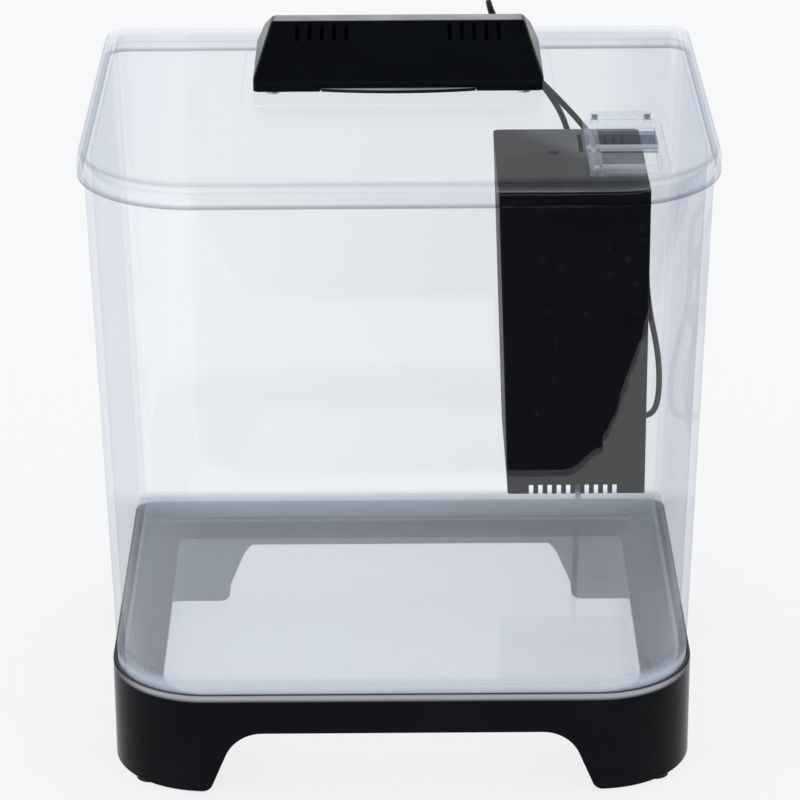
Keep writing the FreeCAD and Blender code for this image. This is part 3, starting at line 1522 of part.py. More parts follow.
def make_plug():
    face = "plug_x - plug_length"
    wide = ("plug_y - plug_half_width", "plug_y + plug_half_width")
    tall = ("plug_z - plug_half_height", "plug_z + plug_half_height")
    grip = box("plug_grip", (face, "plug_x"), wide, tall)
    soft = rounded("plug_grip_rounded", grip, "plug_round", lambda edge: edge.BoundBox.XLength > 1)
    place = {"y": "plug_y", "z": "plug_z"}
    tip = "plug_x + relief_length"
    relief = cone("plug_relief", "x", "relief_radius", "sheath_mouth", "plug_x", tip, **place)
    seat = rod("plug_relief_bore", "lead_radius", "x", "plug_x + relief_length/2 - 1", f"{tip} + 1", **place)
    keep(cut("plug_bored", fuse("plug_joined", [soft, relief]), seat), "plug_body")

    def shell_box(name, low, high, inset, top="plug_z + shell_half_height"):
        across = (f"plug_y - shell_half_width + {inset}", f"plug_y + shell_half_width - ({inset})")
        return box(name, (low, high), across, (f"plug_z - shell_half_height + {inset}", f"{top} - ({inset})"))

    end = f"{face} - shell_length"
    shell = shell_box("plug_shell_outside", end, face, "0")
    tools = [shell_box("plug_shell_inside", f"{end} - 1", f"{face} - 1", "shell_wall")]
    for side, low in (("near", "plug_y - latch_inner - latch_size"), ("far", "plug_y + latch_inner")):
        along = (f"{face} - latch_back - latch_size", f"{face} - latch_back")
        through = ("plug_z + 1.4", "plug_z + 3")
        tools.append(box(f"plug_latch_{side}", along, (low, f"{low} + latch_size"), through))
    keep(cut("plug_shell_cut", shell, tools), "plug_shell")
    inset = "shell_wall + tongue_gap"
    top = f"plug_z + tongue_top + {inset}"
    tongue = shell_box("plug_tongue_block", f"{end} + 1", f"{face} - 1", inset, top)
    keep(tongue, "plug_tongue")


def export():
    """Write each sub-part's shape, once the whole document is sound."""
    doc.recompute()
    for thing in doc.Objects:
        if {"Invalid", "Error"} & set(thing.State):
            raise RuntimeError(f"{thing.Name} ({thing.Label}) is {thing.State}")
    for thing in subparts:
        if thing.Shape.isNull() or not thing.Shape.isValid():
            raise RuntimeError(f"{thing.Label} has no valid shape")
    os.makedirs("parts", exist_ok=True)
    for thing in subparts:
        thing.Shape.exportStep(f"parts/{thing.Label}.step")
        solids = len(thing.Shape.Solids)
        print(f"{thing.Label}: {solids} solid{'s' if solids > 1 else ''}, {thing.Shape.Volume:.0f} mm3")


for make in (
    make_tank,
    make_base,
    make_lid,
    make_flap,
    make_lamp,
    make_lamp_plate,
    make_lamp_board,
    make_switch,
    make_inlet,
    make_lamp_wires,
    make_filter_housing,
    make_filter_front,
    make_filter_top,
    make_media,
    make_motor,
    make_rotor,
    make_volute,
    make_cups,
    make_lead,
    make_plug,
    export,
):
    make()
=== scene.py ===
import math

import bmesh
import bpy
from mathutils import Matrix, Vector, noise


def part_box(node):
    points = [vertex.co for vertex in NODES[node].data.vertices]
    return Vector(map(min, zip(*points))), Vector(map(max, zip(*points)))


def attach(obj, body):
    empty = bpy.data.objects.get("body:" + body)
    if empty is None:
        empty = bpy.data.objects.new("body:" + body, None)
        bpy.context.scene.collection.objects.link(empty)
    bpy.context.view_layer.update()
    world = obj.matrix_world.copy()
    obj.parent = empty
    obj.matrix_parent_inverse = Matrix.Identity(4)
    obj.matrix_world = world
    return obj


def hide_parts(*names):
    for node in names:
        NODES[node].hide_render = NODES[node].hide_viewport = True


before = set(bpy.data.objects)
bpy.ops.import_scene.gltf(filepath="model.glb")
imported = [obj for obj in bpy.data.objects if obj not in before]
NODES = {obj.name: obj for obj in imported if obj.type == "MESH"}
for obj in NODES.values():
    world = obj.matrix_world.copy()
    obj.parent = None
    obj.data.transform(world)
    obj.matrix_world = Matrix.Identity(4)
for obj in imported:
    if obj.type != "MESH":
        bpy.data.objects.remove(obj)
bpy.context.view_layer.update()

# A small desktop aquarium, in metres. The CAD nodes keep their shapes and get their finishes here, and the
# lead and the soft filter media are pieces of their own.

MM = 0.001


# ---------------------------------------------------------------- camera

CAMERA_DISTANCE = 1.3578
CAMERA_HEIGHT = 0.6982
CAMERA_PITCH = 0.3886
CAMERA_YAW = -0.0024
CAMERA_ROLL = -0.0054
LENS = 159.7
SHIFT_Y = -0.0286


def make_camera():
    data = bpy.data.cameras.new("camera")
    data.lens = LENS
    data.sensor_width = 36.0
    data.shift_y = SHIFT_Y
    data.clip_start = 0.05
    camera = bpy.data.objects.new("camera", data)
    bpy.context.collection.objects.link(camera)
    turn = Matrix.Rotation(CAMERA_YAW, 4, "Z")
    place = turn @ Matrix.Translation((0.0, -CAMERA_DISTANCE, CAMERA_HEIGHT))
    tilt = Matrix.Rotation(math.pi / 2 - CAMERA_PITCH, 4, "X")
    camera.matrix_world = place @ tilt @ Matrix.Rotation(CAMERA_ROLL, 4, "Z")
    bpy.context.scene.camera = camera


# ---------------------------------------------------------------- the pump's lead

LEAD_RADIUS = 1.3 * MM

# From the gland, in a bow beside the filter, up behind it, over the rear rim, down and along the table.
LEAD_ROUTE = [
    (105.4, 64.0, 97.0),
    (108.8, 64.0, 97.6),
    (111.3, 64.0, 101.2),
    (112.3, 64.0, 107.2),
    (112.5, 64.2, 114.7),
    (112.0, 64.6, 123.0),
    (110.5, 65.6, 132.5),
    (108.4, 68.0, 142.0),
    (107.0, 72.0, 151.5),
    (106.8, 77.5, 161.5),
    (107.2, 84.0, 171.0),
    (105.9, 90.4, 180.5),
    (99.4, 91.6, 190.5),
    (90.0, 91.4, 205.5),
    (79.7, 91.9, 220.6),
    (68.4, 92.5, 233.0),
    (57.0, 92.6, 244.6),
    (48.6, 92.0, 254.0),
    (43.0, 91.4, 262.2),
    (40.2, 94.2, 269.0),
    (39.0, 100.0, 272.6),
    (38.9, 107.0, 272.0),
    (39.9, 112.0, 267.2),
    (43.2, 113.2, 259.6),
    (49.6, 112.6, 249.2),
    (57.6, 112.0, 238.6),
    (65.4, 111.8, 229.4),
    (72.4, 111.2, 217.6),
    (76.8, 110.8, 200.0),
    (79.0, 110.4, 172.0),
    (79.8, 110.1, 132.0),
    (79.4, 110.4, 88.0),
    (80.2, 111.0, 50.0),
    (81.4, 112.2, 24.0),
    (82.2, 115.0, 9.4),
    (82.6, 121.0, 2.9),
]
# From the coil's top, over its turns and down to the plug.
TAIL_ROUTE = [
    (100.0, 118.1, 8.2),
    (93.2, 117.6, 9.6),
    (86.0, 119.4, 9.8),
    (79.9, 124.0, 8.2),
    (76.8, 130.8, 5.6),
    (75.9, 138.2, 3.9),
    (75.7, 145.6, 3.6),
    (74.6, 152.4, 3.8),
    (71.0, 157.8, 4.0),
    (65.4, 159.9, 4.1),
    (60.5, 160.0, 4.1),
]

# The coil's turns are worked out from the places of its columns and layers.
COIL_CENTRE = (100.0, 131.0)
COIL_COLUMNS = (17.7, 15.0, 12.3)
COIL_LAYERS = (1.95, 4.5, 7.05)
COIL_START = 180.0
COIL_TURN_POINTS = 16
COIL_LAST_PART = 240.0
# Each turn keeps its own radius and height over two thirds, and moves over to the next in the last third.
COIL_SHIFT_PARTS = 3


def coil_points():
    """Nine turns and a part of one, clockwise from above: inwards, outwards, then inwards again."""
    rings = []
    for layer, height in enumerate(COIL_LAYERS):
        columns = COIL_COLUMNS if layer % 2 == 0 else COIL_COLUMNS[::-1]
        rings += [(radius, height) for radius in columns]
    rings.append((COIL_COLUMNS[-1], COIL_LAYERS[-1]))
    step = 360.0 / COIL_TURN_POINTS
    count = (len(rings) - 1) * COIL_TURN_POINTS + int(COIL_LAST_PART / step)
    points = []
    for i in range(count):
        turn, part = divmod(i, COIL_TURN_POINTS)
        radius, height = rings[turn]
        onward = rings[min(turn + 1, len(rings) - 1)]
        change = max(0.0, part / COIL_TURN_POINTS * COIL_SHIFT_PARTS - (COIL_SHIFT_PARTS - 1))
        radius += (onward[0] - radius) * change
        height += (onward[1] - height) * change
        angle = math.radians(COIL_START - i * step)
        x, y = COIL_CENTRE[0] + radius * math.cos(angle), COIL_CENTRE[1] + radius * math.sin(angle)
        points.append((x, y, height))
    return points


def make_lead():
    points = LEAD_ROUTE + coil_points() + TAIL_ROUTE
    data = bpy.data.curves.new("lead", "CURVE")
    data.dimensions = "3D"
    data.bevel_depth = 1.0  # the points' radii carry the thickness, which keeps the bounding box tight
    data.bevel_resolution = 5
    data.resolution_u = 6
    spline = data.splines.new("NURBS")
    spline.points.add(len(points) - 1)
    for point, (x, y, z) in zip(spline.points, points):
        point.co = (x * MM, y * MM, z * MM, 1.0)
        point.radius = LEAD_RADIUS
    spline.order_u = 3
    spline.use_endpoint_u = True
    lead = bpy.data.objects.new("lead", data)
    bpy.context.collection.objects.link(lead)
    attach(lead, "tank")
    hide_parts("pump_lead", "pump_lead_coil", "pump_lead_tail")
    return lead


# ---------------------------------------------------------------- shader graphs


def new_material(name):
    material = bpy.data.materials.new(name)
    material.use_nodes = True
    material.node_tree.nodes.clear()
    return material


class Graph:
    """Short calls for building one node tree."""

    def __init__(self, tree):
        self.tree = tree

    def node(self, kind, inputs=None, **properties):
        made = self.tree.nodes.new(kind)
        for key, value in properties.items():
            setattr(made, key, value)
        for key, value in (inputs or {}).items():
            self.put(made.inputs[key], value)
        return made

    def put(self, socket, value):
        if isinstance(value, bpy.types.Node):
            value = value.outputs[0]
        if isinstance(value, bpy.types.NodeSocket):
            self.tree.links.new(value, socket)
        elif isinstance(value, (tuple, list)) and len(value) == 3 and socket.type == "RGBA":
            socket.default_value = (*value, 1.0)
        else:
            socket.default_value = value

    def maths(self, operation, *values, clamp=False):
        made = self.tree.nodes.new("ShaderNodeMath")
        made.operation = operation
        made.use_clamp = clamp
        for socket, value in zip(made.inputs, values):
            self.put(socket, value)
        return made

    def ramp(self, value, *stops):
        made = self.tree.nodes.new("ShaderNodeValToRGB")
        self.put(made.inputs[0], value)
        band = made.color_ramp
        while len(band.elements) < len(stops):
            band.elements.new(0.5)
        for element, (place, colour) in zip(band.elements, stops):
            element.position = place
            element.color = (*colour, 1.0) if isinstance(colour, tuple) else (colour, colour, colour, 1.0)
        return made.outputs["Color"]

    def rise(self, value, low, high):
        """Nought at low, one at high, and straight between them; low may be the larger."""
        made = self.node("ShaderNodeMapRange", {"Value": value, "From Min": low, "From Max": high})
        return made.outputs["Result"]

    def mix(self, factor, first, second, blend="MIX"):
        inputs = {"Fac": factor, "Color1": first, "Color2": second}
        return self.node("ShaderNodeMixRGB", inputs, blend_type=blend).outputs["Color"]

    def place(self):
        return self.node("ShaderNodeTexCoord").outputs["Object"]

    def part(self, axis, vector):
        return self.node("ShaderNodeSeparateXYZ", {"Vector": vector}).outputs[axis]

    def along(self, axis):
        return self.part(axis, self.place())

    def level(self):
        """The upward part of the face's normal."""
        return self.part("Z", self.node("ShaderNodeNewGeometry").outputs["True Normal"])

    def within(self, value, low, high):
        """One between low and high, and nought outside."""
        return self.times(self.maths("GREATER_THAN", value, low), self.maths("LESS_THAN", value, high))

    def times(self, first, second):
        return self.maths("MULTIPLY", first, second)

    def plus(self, first, second):
        return self.maths("ADD", first, second)

    def noise(self, scale, detail=3.0):
        return self.node("ShaderNodeTexNoise", {"Vector": self.place(), "Scale": scale, "Detail": detail})

    def surface(self, shader):
        out = self.tree.nodes.new("ShaderNodeOutputMaterial")
        self.put(out.inputs["Surface"], shader)


# ---------------------------------------------------------------- stage and light

FLOOR_SIZE = 12.0
FLOOR_COLOUR = (0.15, 0.151, 0.152)
FLOOR_GLOW = 0.8
SKY_COLOUR = (0.985, 0.99, 1.0)
SKY_STRENGTH = 0.98
# What a shiny surface sees of the sky: white near the horizon, dark overhead.
SKY_SEEN = ((0.0, 1.0), (0.22, 1.0), (0.46, 0.5), (0.8, 0.06))


def make_floor():
    mesh = bpy.data.meshes.new("floor")
    half = FLOOR_SIZE / 2
    corners = [(-half, -half, 0), (half, -half, 0), (half, half, 0), (-half, half, 0)]
    mesh.from_pydata(corners, [], [(0, 1, 2, 3)])
    floor = bpy.data.objects.new("floor", mesh)
    bpy.context.collection.objects.link(floor)
    material = new_material("floor")
    graph = Graph(material.node_tree)
    lit = graph.node("ShaderNodeBsdfDiffuse", {"Color": FLOOR_COLOUR})
    glow = graph.node("ShaderNodeEmission", {"Color": SKY_COLOUR, "Strength": FLOOR_GLOW})
    graph.surface(graph.node("ShaderNodeAddShader", {0: lit, 1: glow}))
    mesh.materials.append(material)


def make_sky():
    world = bpy.data.worlds.new("studio")
    bpy.context.scene.world = world
    world.use_nodes = True
    world.node_tree.nodes.clear()
    graph = Graph(world.node_tree)
    up = graph.part("Z", graph.node("ShaderNodeTexCoord").outputs["Generated"])
    shiny = graph.node("ShaderNodeLightPath").outputs["Is Glossy Ray"]
    shade = graph.mix(shiny, (1.0, 1.0, 1.0), graph.ramp(up, *SKY_SEEN))
    lit = graph.mix(1.0, SKY_COLOUR, shade, "MULTIPLY")
    background = graph.node("ShaderNodeBackground", {"Color": lit, "Strength": SKY_STRENGTH})
    out = world.node_tree.nodes.new("ShaderNodeOutputWorld")
    world.node_tree.links.new(background.outputs[0], out.inputs["Surface"])
    bpy.context.scene.view_settings.view_transform = "Standard"


SCREEN_BACK = 0.362
SCREEN_RADIUS = 0.121
SCREEN_CENTRE = 0.09
SCREEN_FLOOR = 0.0005
SCREEN_COLUMNS = 48
SCREEN_SHADES = ((0.0, 0.62), (1.0, 0.012))
SCREEN_FADE = (-0.12, 0.03)
WING_AXIS = (0.092, -0.056)
WING_ANGLE = math.radians(115)
WING_FOOT = 0.012
WING_LIFT = 0.075
WING_TOP = 0.2


def make_screen():
    """A dark screen before the object, seen only as a reflection: a disc, and a wing curving to the right."""
    columns = []
    for i in range(SCREEN_COLUMNS + 1):
        x = -SCREEN_RADIUS + (SCREEN_RADIUS + WING_AXIS[0]) * i / SCREEN_COLUMNS
        half = math.sqrt(max(0.0, SCREEN_RADIUS**2 - x**2))
        columns.append((x, -SCREEN_BACK, max(SCREEN_FLOOR, SCREEN_CENTRE - half), SCREEN_CENTRE + half))
    reach = SCREEN_BACK + WING_AXIS[1]
    for i in range(1, SCREEN_COLUMNS + 1):
        angle = WING_ANGLE * i / SCREEN_COLUMNS
        x, y = WING_AXIS[0] + reach * math.sin(angle), WING_AXIS[1] - reach * math.cos(angle)
        columns.append((x, y, WING_FOOT + WING_LIFT * angle, WING_TOP))
    points = [(x, y, z) for x, y, low, high in columns for z in (low, high)]
    faces = [(2 * i, 2 * i + 2, 2 * i + 3, 2 * i + 1) for i in range(len(columns) - 1)]
    mesh = bpy.data.meshes.new("screen")
    mesh.from_pydata(points, [], faces)
    screen = bpy.data.objects.new("screen", mesh)
    bpy.context.collection.objects.link(screen)
    material = new_material("screen")
    graph = Graph(material.node_tree)
    shade = graph.ramp(graph.rise(graph.along("X"), *SCREEN_FADE), *SCREEN_SHADES)
    graph.surface(graph.node("ShaderNodeEmission", {"Color": shade, "Strength": 1.0}))
    mesh.materials.append(material)
    for kind in ("camera", "diffuse", "transmission", "volume_scatter", "shadow"):
        setattr(screen, "visible_" + kind, False)


# ---------------------------------------------------------------- finishes

CLEAR_INDEX = 1.49
CLEAR_TINT = (0.984, 0.989, 0.995)
CLEAR_EDGE = (0.8, 0.83, 0.88)
CLEAR_LINE = (0.6, 0.63, 0.69)
EDGE_POWER = 5.0
SCUFF_SCALE = 190.0
SCUFF_SHARE = 0.02
# The milky colour, which also gives the tank's painted light and painted highlight.
MILK_AND_HIGHLIGHT = (0.68, 0.76, 0.86)


def clear_plastic(
    name, mirrors, milk_and_highlight=None, shade=None, tint=CLEAR_TINT, line=CLEAR_LINE, roughness=0.0, body=0.0
):
    """Clear plastic: each face lets light through, less what it mirrors and less at its edges.

    mirrors is the most that a face reflects. milk_and_highlight and shade take the graph and give, at each
    place, the share that is milky, which on the tank also carries painted light and a painted highlight, and
    the share darkened to line, which on the tank and the lid is painted shade. body is a share that is milky
    everywhere.
    """
    material = new_material(name)
    graph = Graph(material.node_tree)
    back = graph.node("ShaderNodeNewGeometry").outputs["Backfacing"]
    index = graph.plus(graph.times(back, 1.0 / CLEAR_INDEX - CLEAR_INDEX), CLEAR_INDEX)
    mirror = graph.maths("MINIMUM", graph.node("ShaderNodeFresnel", {"IOR": index}), mirrors)
    facing = graph.node("ShaderNodeLayerWeight", {"Blend": 0.5}).outputs["Facing"]
    colour = graph.mix(graph.maths("POWER", facing, EDGE_POWER), tint, CLEAR_EDGE)
    if shade:
        colour = graph.mix(shade(graph), colour, line)
    scuffs = graph.times(graph.rise(graph.noise(SCUFF_SCALE, 6.0), 0.66, 0.8), SCUFF_SHARE)
    through = graph.node("ShaderNodeBsdfTransparent", {"Color": colour})
    shine = graph.node("ShaderNodeBsdfGlossy", {"Color": (1.0, 1.0, 1.0), "Roughness": roughness})
    clear = graph.node("ShaderNodeMixShader", {0: mirror, 1: through, 2: shine})
    diffuse_share = graph.plus(scuffs, body)
    # On the tank this share also carries painted light and a painted highlight.
    if milk_and_highlight:
        diffuse_share = graph.maths("ADD", diffuse_share, milk_and_highlight(graph), clamp=True)
    diffuse_layer = graph.node("ShaderNodeBsdfDiffuse", {"Color": MILK_AND_HIGHLIGHT})
    graph.surface(graph.node("ShaderNodeMixShader", {0: diffuse_share, 1: clear, 2: diffuse_layer}))
    return material


FLOOR_HAZE = 0.2
# Painted light: the tank's floor is made lighter towards its side walls.
WALL_PAINTED_LIGHT = 0.16
WALL_PAINTED_LIGHT_REACH = (0.088, 0.112)
# Painted highlight: a brighter line round the foot of the tank's walls.
FOOT_HIGHLIGHT = 0.48
FOOT_HIGHLIGHT_RISE = (0.006, 0.003)


def tank_haze_and_highlight(graph):
    """A soft haze on the tank's floor, with painted light making it lighter beside the walls, and a painted
    highlight as a brighter line round its foot.
    """
    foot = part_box("base_ring")[1][2]
    height = graph.along("Z")
    level = graph.maths("GREATER_THAN", graph.maths("ABSOLUTE", graph.level()), 0.7)
    beside = graph.times(graph.rise(graph.maths("ABSOLUTE", graph.along("X")), *WALL_PAINTED_LIGHT_REACH), WALL_PAINTED_LIGHT)
    low = graph.maths("LESS_THAN", height, foot)
    floor = graph.times(graph.times(level, low), graph.plus(beside, FLOOR_HAZE))
    # The painted highlight round the foot.
    line = graph.times(graph.rise(height, *(foot + lift for lift in FOOT_HIGHLIGHT_RISE)), FOOT_HIGHLIGHT)
    return graph.plus(floor, graph.times(graph.maths("SUBTRACT", 1.0, level), line))


# Painted shade on the tank's right wall.
DARK_SIDE_REACH = (0.088, 0.106)
DARK_SIDE_SHARE = 0.14


def tank_shade(graph):
    """Painted shade on the right wall, for the darker side of the room that it would mirror."""
    return graph.times(graph.rise(graph.along("X"), *DARK_SIDE_REACH), DARK_SIDE_SHARE)


RIM_SLOPE = 0.72
RIM_SLOPE_SPREAD = 0.22
RIM_SHARE = 0.6
SKIRT_EDGE = (0.0016, 0.0004)
SKIRT_SHARE = 0.75


def lid_shade(graph):
    """Painted shade: the lid's rounded rim and the lower edge of its skirt show as darker lines."""
    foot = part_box("lid_panel")[0][2]
    off = graph.maths("ABSOLUTE", graph.maths("SUBTRACT", graph.level(), RIM_SLOPE))
    rim = graph.maths("SUBTRACT", 1.0, graph.maths("DIVIDE", off, RIM_SLOPE_SPREAD), clamp=True)
    skirt = graph.rise(graph.along("Z"), *(foot + lift for lift in SKIRT_EDGE))
    return graph.maths("ADD", graph.times(rim, RIM_SHARE), graph.times(skirt, SKIRT_SHARE), clamp=True)


FLAP_WINDOW = ((0.0765, 0.099), (-0.0704, -0.0486))
FLAP_BAR = (-0.0755, -0.0704)
FLAP_PLATE = 0.0022
FLAP_RIM_SHARE = 0.14
FLAP_BAR_SHARE = 0.2


def flap_shade(graph):
    """The window beside the hinge is darker."""
    share = 1.0
    for axis, (low, high) in zip("XY", FLAP_WINDOW):
        off = graph.maths("ABSOLUTE", graph.maths("SUBTRACT", graph.along(axis), (low + high) / 2))
        share = graph.times(graph.maths("LESS_THAN", off, (high - low) / 2), share)
    return share


def flap_milk(graph):
    """The raised rim is duller than the windows, and the bar between them the most."""
    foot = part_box("feeding_flap")[0][2]
    bar = graph.within(graph.along("Y"), *FLAP_BAR)
    share = graph.plus(graph.times(bar, FLAP_BAR_SHARE), FLAP_RIM_SHARE)
    return graph.times(graph.maths("GREATER_THAN", graph.along("Z"), foot + FLAP_PLATE), share)


MOTTLE_SCALE = 28.0
FLAT = 0.995


def dust_and_sheen(slope, share):
    """A mottled layer on what faces up, used for dust and for painted sheen; slope is how level a face has to
    be to catch any.
    """
    return lambda graph: graph.times(graph.rise(graph.level(), slope, FLAT), graph.times(
        graph.rise(graph.noise(MOTTLE_SCALE, 5.0), 0.0, 0.62), share))


# Painted sheen on the filter's top: full beyond a slanting line, and only the dust's share before it.
SHEEN_SLANT = 1.33
SHEEN_REACH = (0.146, 0.166)
DUST_ONLY_SHARE = 0.2


def filter_dust_and_sheen(graph):
    """Dust on the filter's top, with a painted sheen towards the back and the right, beyond a slanting line.
    """
    slanted = graph.plus(graph.along("Y"), graph.times(graph.along("X"), SHEEN_SLANT))
    left = graph.plus(graph.times(graph.rise(slanted, *SHEEN_REACH), 1 - DUST_ONLY_SHARE), DUST_ONLY_SHARE)
    return graph.times(dust_and_sheen(0.95, 1.0)(graph), left)


LIP_DEPTHS = (0.003, 0.0015)
LIP_FACING = (-0.3, -0.8)


def base_lip_highlight(graph):
    """A painted highlight along the front of the base's polished upper edge."""
    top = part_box("base_ring")[1][2]
    ahead = graph.part("Y", graph.node("ShaderNodeNewGeometry").outputs["Normal"])
    lip = graph.rise(graph.along("Z"), *(top - depth for depth in LIP_DEPTHS))
    return graph.times(lip, graph.rise(ahead, *LIP_FACING))


def moulded(name, colour, roughness, grain=0.1, scale=900.0, specular=0.5, layers=()):
    """Opaque moulded plastic or rubber: a fine grain and uneven gloss.

    Each layer is a function that takes the graph and gives the layer's share at each place, and a colour.
    """
    material = new_material(name)
    graph = Graph(material.node_tree)
    fine, broad = graph.noise(scale), graph.noise(MOTTLE_SCALE, 5.0)
    uneven = graph.plus(graph.times(broad, roughness * 0.5), roughness * 0.75)
    bump = graph.node("ShaderNodeBump", {"Height": fine, "Strength": grain, "Distance": 0.0002})
    darker, lighter = (tuple(min(1.0, value * change) for value in colour) for change in (0.8, 1.2))
    shade = graph.ramp(broad, (0.3, darker), (0.7, lighter))
    for lying, tone in layers:
        share = lying(graph)
        shade = graph.mix(share, shade, tone)
        uneven = graph.plus(uneven, graph.times(share, 0.25))
    graph.surface(graph.node("ShaderNodeBsdfPrincipled", {
        "Base Color": shade, "Roughness": uneven, "Normal": bump, "Specular IOR Level": specular}))
    return material


def metal(name, colour, roughness, scale=600.0, stretch=(1.0, 1.0, 1.0)):
    """Bare metal with fine marks, drawn out along one axis where stretch says so."""
    material = new_material(name)
    graph = Graph(material.node_tree)
    scaled = graph.node("ShaderNodeVectorMath", {0: graph.place(), 1: stretch}, operation="MULTIPLY")
    fine = graph.node("ShaderNodeTexNoise", {"Vector": scaled, "Scale": scale, "Detail": 4.0})
    bump = graph.node("ShaderNodeBump", {"Height": fine, "Strength": 0.2, "Distance": 0.0001})
    uneven = graph.plus(graph.times(fine, roughness * 0.5), roughness * 0.75)
    shade = graph.ramp(fine, (0.35, tuple(value * 0.75 for value in colour)), (0.65, colour))
    graph.surface(graph.node("ShaderNodeBsdfPrincipled", {
        "Base Color": shade, "Metallic": 1.0, "Roughness": uneven, "Normal": bump}))
    return material


def winding():
    """Enamelled copper wire laid side by side round the core, darker in the grooves between turns as painted
    shade.
    """
    material = new_material("copper_winding")
    graph = Graph(material.node_tree)
    wave = {"Vector": graph.place(), "Scale": 420.0, "Distortion": 0.4}
    turns = graph.node("ShaderNodeTexWave", wave, bands_direction="X").outputs["Fac"]
    bump = graph.node("ShaderNodeBump", {"Height": turns, "Strength": 0.9, "Distance": 0.0003})
    shade = graph.ramp(turns, (0.1, (0.25, 0.07, 0.025)), (0.8, (0.74, 0.3, 0.11)))
    graph.surface(graph.node("ShaderNodeBsdfPrincipled", {
        "Base Color": shade, "Metallic": 0.9, "Roughness": 0.3, "Normal": bump}))
    return material


def porous(name, pit, wall, scale, depth):
    """Open-cell foam: pits darkened with painted shade between lighter walls."""
    material = new_material(name)
    graph = Graph(material.node_tree)
    field = {"Vector": graph.place(), "Scale": scale}
    cells = graph.node("ShaderNodeTexVoronoi", field, feature="DISTANCE_TO_EDGE")
    edge = graph.rise(cells.outputs["Distance"], 0.0, 0.22)
    bump = graph.node("ShaderNodeBump", {"Height": edge, "Strength": 1.0, "Distance": depth}, invert=True)
    shade = graph.mix(edge, wall, pit)
    graph.surface(graph.node("ShaderNodeBsdfPrincipled", {
        "Base Color": shade, "Roughness": 0.9, "Normal": bump, "Specular IOR Level": 0.15}))
    return material


def fibrous(name, dark, light):
    """White fibre floss: fine crossing strands."""
    material = new_material(name)
    graph = Graph(material.node_tree)
    strands = graph.node("ShaderNodeTexNoise", {
        "Vector": graph.place(), "Scale": 260.0, "Detail": 8.0, "Roughness": 0.75, "Distortion": 2.2})
    bump = graph.node("ShaderNodeBump", {"Height": strands, "Strength": 0.8, "Distance": 0.0006})
    graph.surface(graph.node("ShaderNodeBsdfPrincipled", {
        "Base Color": graph.ramp(strands, (0.35, dark), (0.6, light)), "Roughness": 0.95, "Normal": bump,
        "Sheen Weight": 0.4}))
    return material


def meshed(name):
    """A fine white net with black granules behind it."""
    material = new_material(name)
    graph = Graph(material.node_tree)
    wave = {"Vector": graph.place(), "Scale": 300.0}
    net = [graph.node("ShaderNodeTexWave", wave, bands_direction=way).outputs["Fac"] for way in ("X", "Z")]
    threads = graph.maths("MAXIMUM", *(graph.rise(value, 0.8, 0.92) for value in net))
    grains = graph.node("ShaderNodeTexVoronoi", {"Vector": graph.place(), "Scale": 520.0}).outputs["Distance"]
    black = graph.ramp(grains, (0.0, (0.03, 0.03, 0.032)), (0.7, (0.006, 0.006, 0.006)))
    height = graph.plus(threads, grains)
    bump = graph.node("ShaderNodeBump", {"Height": height, "Strength": 0.7, "Distance": 0.0004})
    graph.surface(graph.node("ShaderNodeBsdfPrincipled", {
        "Base Color": graph.mix(threads, black, (0.5, 0.5, 0.49)), "Roughness": 0.8, "Normal": bump}))
    return material


def solder_board():
    """A white board with faint copper tracks under its mask."""
    material = new_material("board_white")
    graph = Graph(material.node_tree)
    bricks = graph.node("ShaderNodeTexBrick", {
        "Vector": graph.place(), "Scale": 95.0, "Mortar Size": 0.03, "Color1": (0.8, 0.82, 0.8),
        "Color2": (0.76, 0.79, 0.77), "Mortar": (0.62, 0.66, 0.62)})
    tracks = bricks.outputs["Fac"]
    bump = graph.node("ShaderNodeBump", {"Height": tracks, "Strength": 0.3, "Distance": 0.0001})
    graph.surface(graph.node("ShaderNodeBsdfPrincipled", {
        "Base Color": bricks.outputs["Color"], "Roughness": 0.35, "Normal": bump}))
    return material


def paint(material, *names):
    for name in names:
        mesh = NODES[name].data
        mesh.materials.clear()
        mesh.materials.append(material)


# Colour that the flap's window is darkened to.
WINDOW_DARKENING = (0.38, 0.41, 0.46)
LENS_TINT = (0.8, 0.8, 0.8)
GLOSS_BLACK = (0.0035, 0.0045, 0.006)
SATIN_BLACK = (0.004, 0.005, 0.007)
DUST = (0.085, 0.092, 0.102)
# Colour of the dust and the painted sheen on the filter's top.
FILTER_DUST_AND_SHEEN = (0.15, 0.155, 0.165)
# Colour of the painted reflection on the lamp's top and its tab.
LAMP_PAINTED_REFLECTION = (0.42, 0.43, 0.45)
# Colour of the painted highlight on the base's lip.
LIP_HIGHLIGHT = (0.38, 0.39, 0.43)


def finish_clear():
    paint(clear_plastic("clear_tank", 0.13, tank_haze_and_highlight, tank_shade), "tank_shell")
    paint(clear_plastic("clear_lid", 0.04, shade=lid_shade), "lid_panel")
    paint(clear_plastic("clear_flap", 0.04, flap_milk, flap_shade, line=WINDOW_DARKENING, body=0.03), "feeding_flap")
    paint(clear_plastic("frosted_lens", 0.13, tint=LENS_TINT, roughness=0.3, body=0.5), "lamp_lens")


